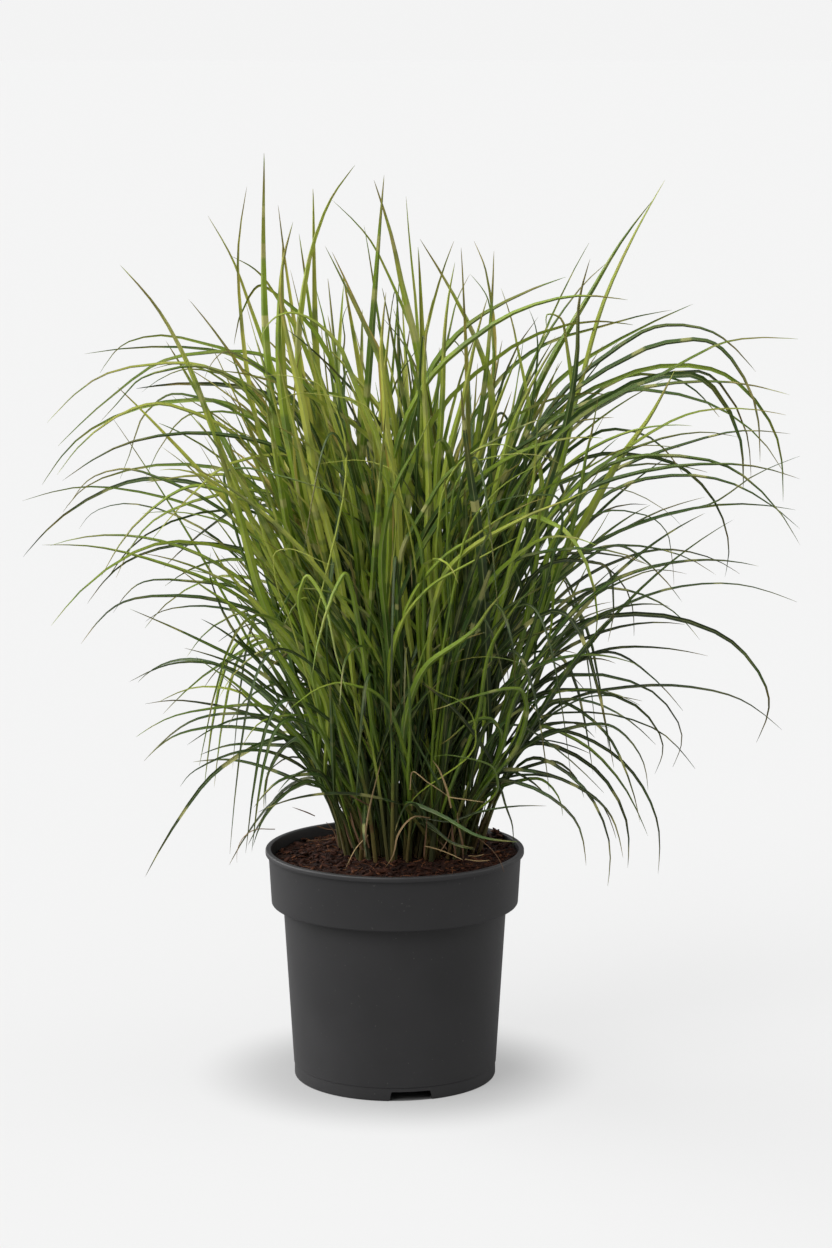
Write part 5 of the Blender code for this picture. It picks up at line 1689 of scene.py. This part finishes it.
def dress_shoot(shoot, near, look, rng, finish, view):
    """One shoot: the leaves of its solid, those traced beside them, and more stems from the same tuft."""
    strips = Strips()
    for path, wide, tone, band, marks in near:
        twist = (rng.uniform(-0.15, 0.15), rng.uniform(-0.3, 0.3))
        add_blade(strips, path, wide / 1000, twist, look.rings + 10, tone, band, rng, 1.0, marks, 0.4)
    band = BANDS.get(shoot.name, 0.0 if shoot.around else draw_band(look, rng))
    shade = AROUND_SHADE if shoot.around else upright_shade(shoot.path) + rng.gauss(0, look.shade_spread / 2)
    shade = SHADES.get(shoot.name, shade)
    width = AROUND_LEAF if shoot.around else WIDTHS.get(shoot.name, 0) / 1000 or apparent(shoot.path, shoot.width)
    add_stem(strips, shoot.path, 0.42, STEM_WIDTH / 2 * 0.88, 0.0013, shade, rng)
    upper = shoot.path[int(0.2 * len(shoot.path)):]
    twist = (rng.uniform(-0.3, 0.3), rng.uniform(-0.6, 0.6))
    add_blade(
        strips, upper, width, twist, look.rings + 6, shade, band, rng, 0.9, MARKS.get(shoot.name, ()), 0.5,
    )
    for index, (path, width, twist) in enumerate(shoot.sides):
        tone = upright_shade(path) + rng.gauss(0, look.shade_spread / 2)
        tone = SIDE_SHADES.get((shoot.name, index), tone)
        band = draw_band(look, rng)
        twist = (rng.uniform(-0.3, 0.3), rng.uniform(-0.6, 0.6))
        add_blade(strips, path, apparent(path, width), twist, look.rings + 4, tone, band, rng, 0.85)
    for wide, depth, tone, pixels in FINE_LEAVES.get(shoot.name, []):
        start, way = along(shoot.path, rng.uniform(0.12, 0.30))
        path = traced_path(start, way, pixels, depth / 1000)
        band = draw_band(look, rng)
        twist = (rng.uniform(-0.3, 0.3), rng.uniform(-0.6, 0.6))
        add_blade(strips, path, apparent(path, wide / 1000), twist, look.rings + 4, tone, band, rng, 0.85)
    grow_leaves(strips, shoot.path, look, rng, look.leaves_each - 2, view)
    grow_low_leaves(strips, shoot.path, look, rng, look.low_leaves, view)
    for extra in range(look.extra_stems):
        around, away = rng.uniform(0, math.tau), rng.uniform(0.0045, 0.010)
        root = shoot.path[0] + np.array([math.cos(around) * away, math.sin(around) * away, 0.0])
        off = math.hypot((root[0] - CROWN_X) / CROWN_HALF_WIDTH, (root[1] - CROWN_Y) / CROWN_HALF_DEPTH)
        root[:2] = (CROWN_X, CROWN_Y) + (root[:2] - (CROWN_X, CROWN_Y)) / max(1.0, off)
        for attempt in range(12):
            turn = rng.gauss(0, look.tuft_spread)
            path = turned_path(shoot.path, root, turn, rng.uniform(0.52, 0.95))
            if in_fountain(path, 1.0 if attempt < 6 else 1.5) and not view.hidden_by(path):
                break
        grow_tiller(strips, path, look, rng, look.leaves_each, view)
    piece = strips.piece("leaves_" + shoot.name, finish)
    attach(piece, ROOT)
    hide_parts(shoot.node)


def build_grass(look):
    shoots = grown_shoots(random.Random(SEED))
    finish = leaf_finish(look)
    rng = random.Random(SEED + 1)
    near = {shoot.name: [] for shoot in shoots}
    view = FrontView()
    width, depth, tone, pixels = BANDED_LEAF
    leaves = [(*leaf, ()) for leaf in NEAR_LEAVES]
    leaves.append((width, depth, tone, 0.0, pixels, BANDED_LEAF_MARKS))
    for width, depth, tone, band, pixels, marks in leaves:
        shoot = nearest_shoot(shoots, pixels)
        path = near_path(shoot, depth, pixels)
        view.keep(path)
        near[shoot.name].append((path, width, tone, band, marks))
    for shoot in shoots:
        dress_shoot(shoot, near[shoot.name], look, rng, finish, view)


def build_straw(look):
    """Dead leaves and hair-thin remains about the foot of the clump, traced from the photograph."""
    rng = random.Random(SEED + 2)
    strips = Strips()
    for wide, depth, shade, pixels in DRY_LEAVES:
        points = [seen(u, v, near / 1000) for u, v, near in pixels]
        path = through(points, unit(points[1] - points[0]))
        add_blade(strips, path, wide / 1000, (rng.uniform(-0.6, 0.6), rng.uniform(-1.5, 1.5)), 14, shade, 0.0, rng)
    piece = strips.piece("dry_leaves", straw_finish(look))
    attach(piece, ROOT)


# Studio
def build_stage(look):
    """A pale floor that runs out of sight, an even sky and soft suns, and the photograph's camera."""
    deselect()
    bpy.ops.mesh.primitive_grid_add(x_subdivisions=8, y_subdivisions=8, size=look.floor_size)
    floor = bpy.context.object
    floor.name = floor.data.name = "studio_floor"
    floor.data.materials.append(floor_finish(look))

    scene = bpy.context.scene
    # The backdrop is as pale as the floor, and the light that it gives is set on its own.
    world = bpy.data.worlds.new("studio")
    world.use_nodes = True
    nodes, links = world.node_tree.nodes, world.node_tree.links
    backdrop = nodes["Background"]
    backdrop.inputs["Color"].default_value = opaque(look.backdrop_colour)
    glow = nodes.new("ShaderNodeBackground")
    glow.inputs["Color"].default_value = opaque(look.sky_colour)
    glow.inputs["Strength"].default_value = look.sky_strength
    ray = nodes.new("ShaderNodeLightPath")
    both = nodes.new("ShaderNodeMixShader")
    links.new(ray.outputs["Is Camera Ray"], both.inputs[0])
    links.new(glow.outputs[0], both.inputs[1])
    links.new(backdrop.outputs[0], both.inputs[2])
    links.new(both.outputs[0], nodes["World Output"].inputs["Surface"])
    scene.world = world
    scene.view_settings.view_transform = "Standard"
    add_sun("key_light", look.key_strength, look.key_spread, math.radians(look.key_height), math.radians(look.key_turn))
    add_sun("front_light", look.front_strength, 40, math.radians(40), math.radians(-44))
    add_sun("left_light", look.side_strength, 60, math.radians(26), math.radians(-112))
    add_sun("right_light", look.right_strength, 60, math.radians(26), math.radians(98))

    lens = FOCAL_PIXELS / PHOTO_HEIGHT * SENSOR
    camera = bpy.data.objects.new("camera", bpy.data.cameras.new("camera"))
    camera.data.lens = lens
    camera.data.sensor_width = SENSOR
    camera.data.clip_end = 400
    camera.location = (CAMERA_X, CAMERA_Y, CAMERA_Z)
    camera.rotation_euler = (math.pi / 2 - CAMERA_PITCH, 0, 0)
    scene.collection.objects.link(camera)
    scene.camera = camera


def add_sun(name, strength, spread, height, turn):
    """A sun of that spread in degrees, at that height, turned that far to the right of the camera's side."""
    light = bpy.data.lights.new(name, "SUN")
    light.energy = strength
    light.angle = math.radians(spread)
    lamp = bpy.data.objects.new(name, light)
    lamp.rotation_euler = (math.pi / 2 - height, 0, turn)
    bpy.context.scene.collection.objects.link(lamp)


# Settings
def colour_prop(name, description, default):
    return FloatVectorProperty(
        name=name, description=description, default=default, size=3, min=0.0, max=1.0, subtype="COLOR",
    )


def length_prop(name, description, default):
    return FloatProperty(name=name, description=description, default=default, min=0.0, unit="LENGTH", precision=4)


class PotLook(bpy.types.PropertyGroup):
    colour: colour_prop("Colour", "Colour of the pot's plastic", (0.0230, 0.0225, 0.0235))
    roughness: FloatProperty(
        name="Roughness", description="How matte the plastic is", default=0.50, min=0.0, max=1.0, subtype="FACTOR",
    )
    lip_rounding: length_prop("Lip rounding", "Rounding of the pot's lip", 0.0014)
    collar_rounding: length_prop("Collar rounding", "Rounding of the collar's lower edge", 0.0022)
    foot_rounding: length_prop("Foot rounding", "Rounding where the wall meets the ground", 0.0019)


class SoilLook(bpy.types.PropertyGroup):
    dark_colour: colour_prop("Dark", "Colour of damp potting mix", (0.0040, 0.0015, 0.0010))
    warm_colour: colour_prop("Warm", "Colour of its bark", (0.044, 0.0130, 0.0055))
    fibre_colour: colour_prop("Fibre", "Colour of its fibres", (0.19, 0.075, 0.030))
    crumbs: IntProperty(name="Crumbs", description="How many crumbs lie on the soil", default=1700, min=0)
    fibres: IntProperty(name="Fibres", description="How many fibres lie on the soil", default=900, min=0)


class GrassLook(bpy.types.PropertyGroup):
    dark_colour: colour_prop("Dark", "The darkest leaves, low and far out", (0.026, 0.042, 0.012))
    deep_colour: colour_prop("Deep", "Leaves inside the clump", (0.052, 0.114, 0.012))
    middle_colour: colour_prop("Middle", "Most leaves", (0.260, 0.382, 0.028))
    light_colour: colour_prop("Light", "The yellowest leaves, high up", (0.600, 0.630, 0.105))
    cool_colour: colour_prop("Cool", "Blue-green of some leaves", (0.072, 0.142, 0.042))
    midrib_colour: colour_prop("Midrib", "Line along the middle of each leaf", (0.42, 0.48, 0.17))
    band_colour: colour_prop("Cross bands", "Pale bands across the leaves", (0.58, 0.56, 0.20))
    ochre_colour: colour_prop("Ochre", "Leaves that have begun to turn", (0.46, 0.36, 0.070))
    tip_colour: colour_prop("Tips", "Tips that have turned", (0.30, 0.22, 0.060))
    sheath_colour: colour_prop("Sheath", "Leaf sheaths round the stems", (0.215, 0.235, 0.050))
    foot_colour: colour_prop("Stem foot", "Stems where they leave the soil", (0.150, 0.105, 0.032))
    rust_colour: colour_prop("Rust", "Old sheaths among the stems", (0.170, 0.085, 0.036))
    glow_colour: colour_prop("Glow", "Light that comes through a leaf", (0.40, 0.50, 0.035))
    translucency: FloatProperty(
        name="Translucency", description="Share of light that goes through a leaf", default=0.24,
        min=0.0, max=1.0, subtype="FACTOR",
    )
    leaf_width: length_prop("Leaf width", "Width of a common leaf", 0.0065)
    shortest_leaf: length_prop("Shortest leaf", "Length of the shortest leaves", 0.20)
    longest_leaf: length_prop("Longest leaf", "Length of the longest leaves", 0.46)
    band_spacing: length_prop("Band spacing", "Distance from one pale band to the next", 0.062)
    banded_share: FloatProperty(
        name="Banded", description="Share of leaves with strong bands", default=0.35, min=0.0, max=1.0, subtype="FACTOR",
    )
    stray_reach: FloatProperty(
        name="Strays", description="How far single leaves reach out of the fountain", default=0.24, min=0.0, max=1.0,
    )
    drooping_share: FloatProperty(
        name="Drooping", description="Share of leaves that bend right over", default=0.32, min=0.0, max=1.0, subtype="FACTOR",
    )
    shade_spread: FloatProperty(
        name="Shade spread", description="How much leaves differ in shade", default=0.33, min=0.0, max=1.0,
    )
    tuft_spread: FloatProperty(
        name="Tuft spread", description="How far the stems of one tuft turn apart", default=0.55,
        min=0.0, max=3.0, subtype="ANGLE",
    )
    extra_stems: IntProperty(name="Stems", description="Further stems in each tuft", default=2, min=0, max=6)
    leaves_each: IntProperty(name="Leaves", description="Leaves on each stem", default=4, min=2, max=12)
    low_leaves: IntProperty(name="Low leaves", description="Short leaves from each stem's foot", default=1, min=0, max=6)
    rings: IntProperty(name="Rings", description="Rings of points along a leaf", default=14, min=6, max=40)


class StageLook(bpy.types.PropertyGroup):
    floor_colour: colour_prop("Floor", "Colour of the floor", (0.602, 0.604, 0.603))
    floor_glow: FloatProperty(
        name="Floor glow", description="Share of the floor's brightness that comes from under it", default=0.70,
        min=0.0, max=1.0, subtype="FACTOR",
    )
    # Painted contact shadow: the floor's glow is weaker beside the pot, up to this distance from its middle.
    painted_shadow_reach: length_prop("Glow reach", "Distance from the pot's middle at which the floor glows fully", 0.20)
    painted_shadow_share: FloatProperty(
        name="Glow loss", description="Share of the floor's glow that is lost beside the pot", default=0.42,
        min=0.0, max=1.0, subtype="FACTOR",
    )
    floor_bounce: colour_prop("Floor bounce", "Colour of the floor in the light that it throws back", (0.26, 0.26, 0.26))
    floor_size: length_prop("Floor size", "Length of the floor's side", 160.0)
    backdrop_colour: colour_prop("Backdrop", "Colour behind the floor's edge", (0.900, 0.900, 0.900))
    sky_colour: colour_prop("Sky", "Colour of the light from all round", (1.0, 1.0, 1.0))
    sky_strength: FloatProperty(name="Sky strength", description="Strength of the even light", default=0.30, min=0.0)
    key_strength: FloatProperty(name="Key strength", description="Strength of the main light", default=1.30, min=0.0)
    key_spread: FloatProperty(name="Key spread", description="Width of the main light, in degrees", default=70.0)
    front_strength: FloatProperty(name="Front strength", description="Strength of the front light", default=1.75, min=0.0)
    side_strength: FloatProperty(name="Side strength", description="Strength of the left light", default=2.75, min=0.0)
    right_strength: FloatProperty(name="Right strength", description="Strength of the right light", default=0.70, min=0.0)
    key_height: FloatProperty(name="Key height", description="Main light above the floor, in degrees", default=76.0)
    key_turn: FloatProperty(name="Key turn", description="Main light to the right of the camera, in degrees", default=0.0)


# Operators
class GRASS_OT_pot(bpy.types.Operator):
    """Draw the nursery pot: body, collar, lip, foot and drain notches"""

    bl_idname = "grass.pot"
    bl_label = "Pot"

    def execute(self, context):
        build_pot(context.scene.pot_look)
        return {"FINISHED"}


class GRASS_OT_soil(bpy.types.Operator):
    """Fill the pot with potting mix, with its crumbs and fibres"""

    bl_idname = "grass.soil"
    bl_label = "Soil"

    def execute(self, context):
        look = context.scene.soil_look
        build_soil(look)
        build_crumbs(look)
        build_fibres(look)
        return {"FINISHED"}


class GRASS_OT_leaves(bpy.types.Operator):
    """Grow the shoots: stems, long leaves and side leaves, one piece to a shoot"""

    bl_idname = "grass.leaves"
    bl_label = "Shoots"

    def execute(self, context):
        build_grass(context.scene.grass_look)
        return {"FINISHED"}


class GRASS_OT_straw(bpy.types.Operator):
    """Lay the dead leaves about the foot of the clump"""

    bl_idname = "grass.straw"
    bl_label = "Dry leaves"

    def execute(self, context):
        build_straw(context.scene.grass_look)
        return {"FINISHED"}


class GRASS_OT_stage(bpy.types.Operator):
    """Set the pale studio, its light and the camera"""

    bl_idname = "grass.stage"
    bl_label = "Stage"

    def execute(self, context):
        build_stage(context.scene.stage_look)
        return {"FINISHED"}


class GRASS_PT_panel(bpy.types.Panel):
    """The clump's settings and steps"""

    bl_label = "Potted grass"
    bl_idname = "GRASS_PT_panel"
    bl_space_type = "VIEW_3D"
    bl_region_type = "UI"
    bl_category = "Grass"

    def draw(self, context):
        for group, steps in STEPS:
            box = self.layout.box()
            look = getattr(context.scene, group)
            for setting in look.bl_rna.properties.keys():
                if setting not in {"rna_type", "name"}:
                    box.prop(look, setting)
            for step in steps:
                box.operator(step)


LOOKS = {"pot_look": PotLook, "soil_look": SoilLook, "grass_look": GrassLook, "stage_look": StageLook}
STEPS = (
    ("stage_look", ("grass.stage",)),
    ("pot_look", ("grass.pot",)),
    ("soil_look", ("grass.soil",)),
    ("grass_look", ("grass.leaves", "grass.straw")),
)
OPERATORS = (GRASS_OT_pot, GRASS_OT_soil, GRASS_OT_leaves, GRASS_OT_straw, GRASS_OT_stage)


def register():
    for look in LOOKS.values():
        bpy.utils.register_class(look)
    for name, look in LOOKS.items():
        setattr(bpy.types.Scene, name, PointerProperty(type=look))
    for operator in OPERATORS:
        bpy.utils.register_class(operator)
    bpy.utils.register_class(GRASS_PT_panel)


def unregister():
    bpy.utils.unregister_class(GRASS_PT_panel)
    for operator in reversed(OPERATORS):
        bpy.utils.unregister_class(operator)
    for name, look in LOOKS.items():
        delattr(bpy.types.Scene, name)
        bpy.utils.unregister_class(look)


def main():
    register()
    for old in ("Cube", "Light", "Camera"):
        if old in bpy.data.objects:
            bpy.data.objects.remove(bpy.data.objects[old])
    bpy.ops.grass.stage()
    bpy.ops.grass.pot()
    bpy.ops.grass.soil()
    bpy.ops.grass.leaves()
    bpy.ops.grass.straw()


if __name__ == "__main__":
    main()
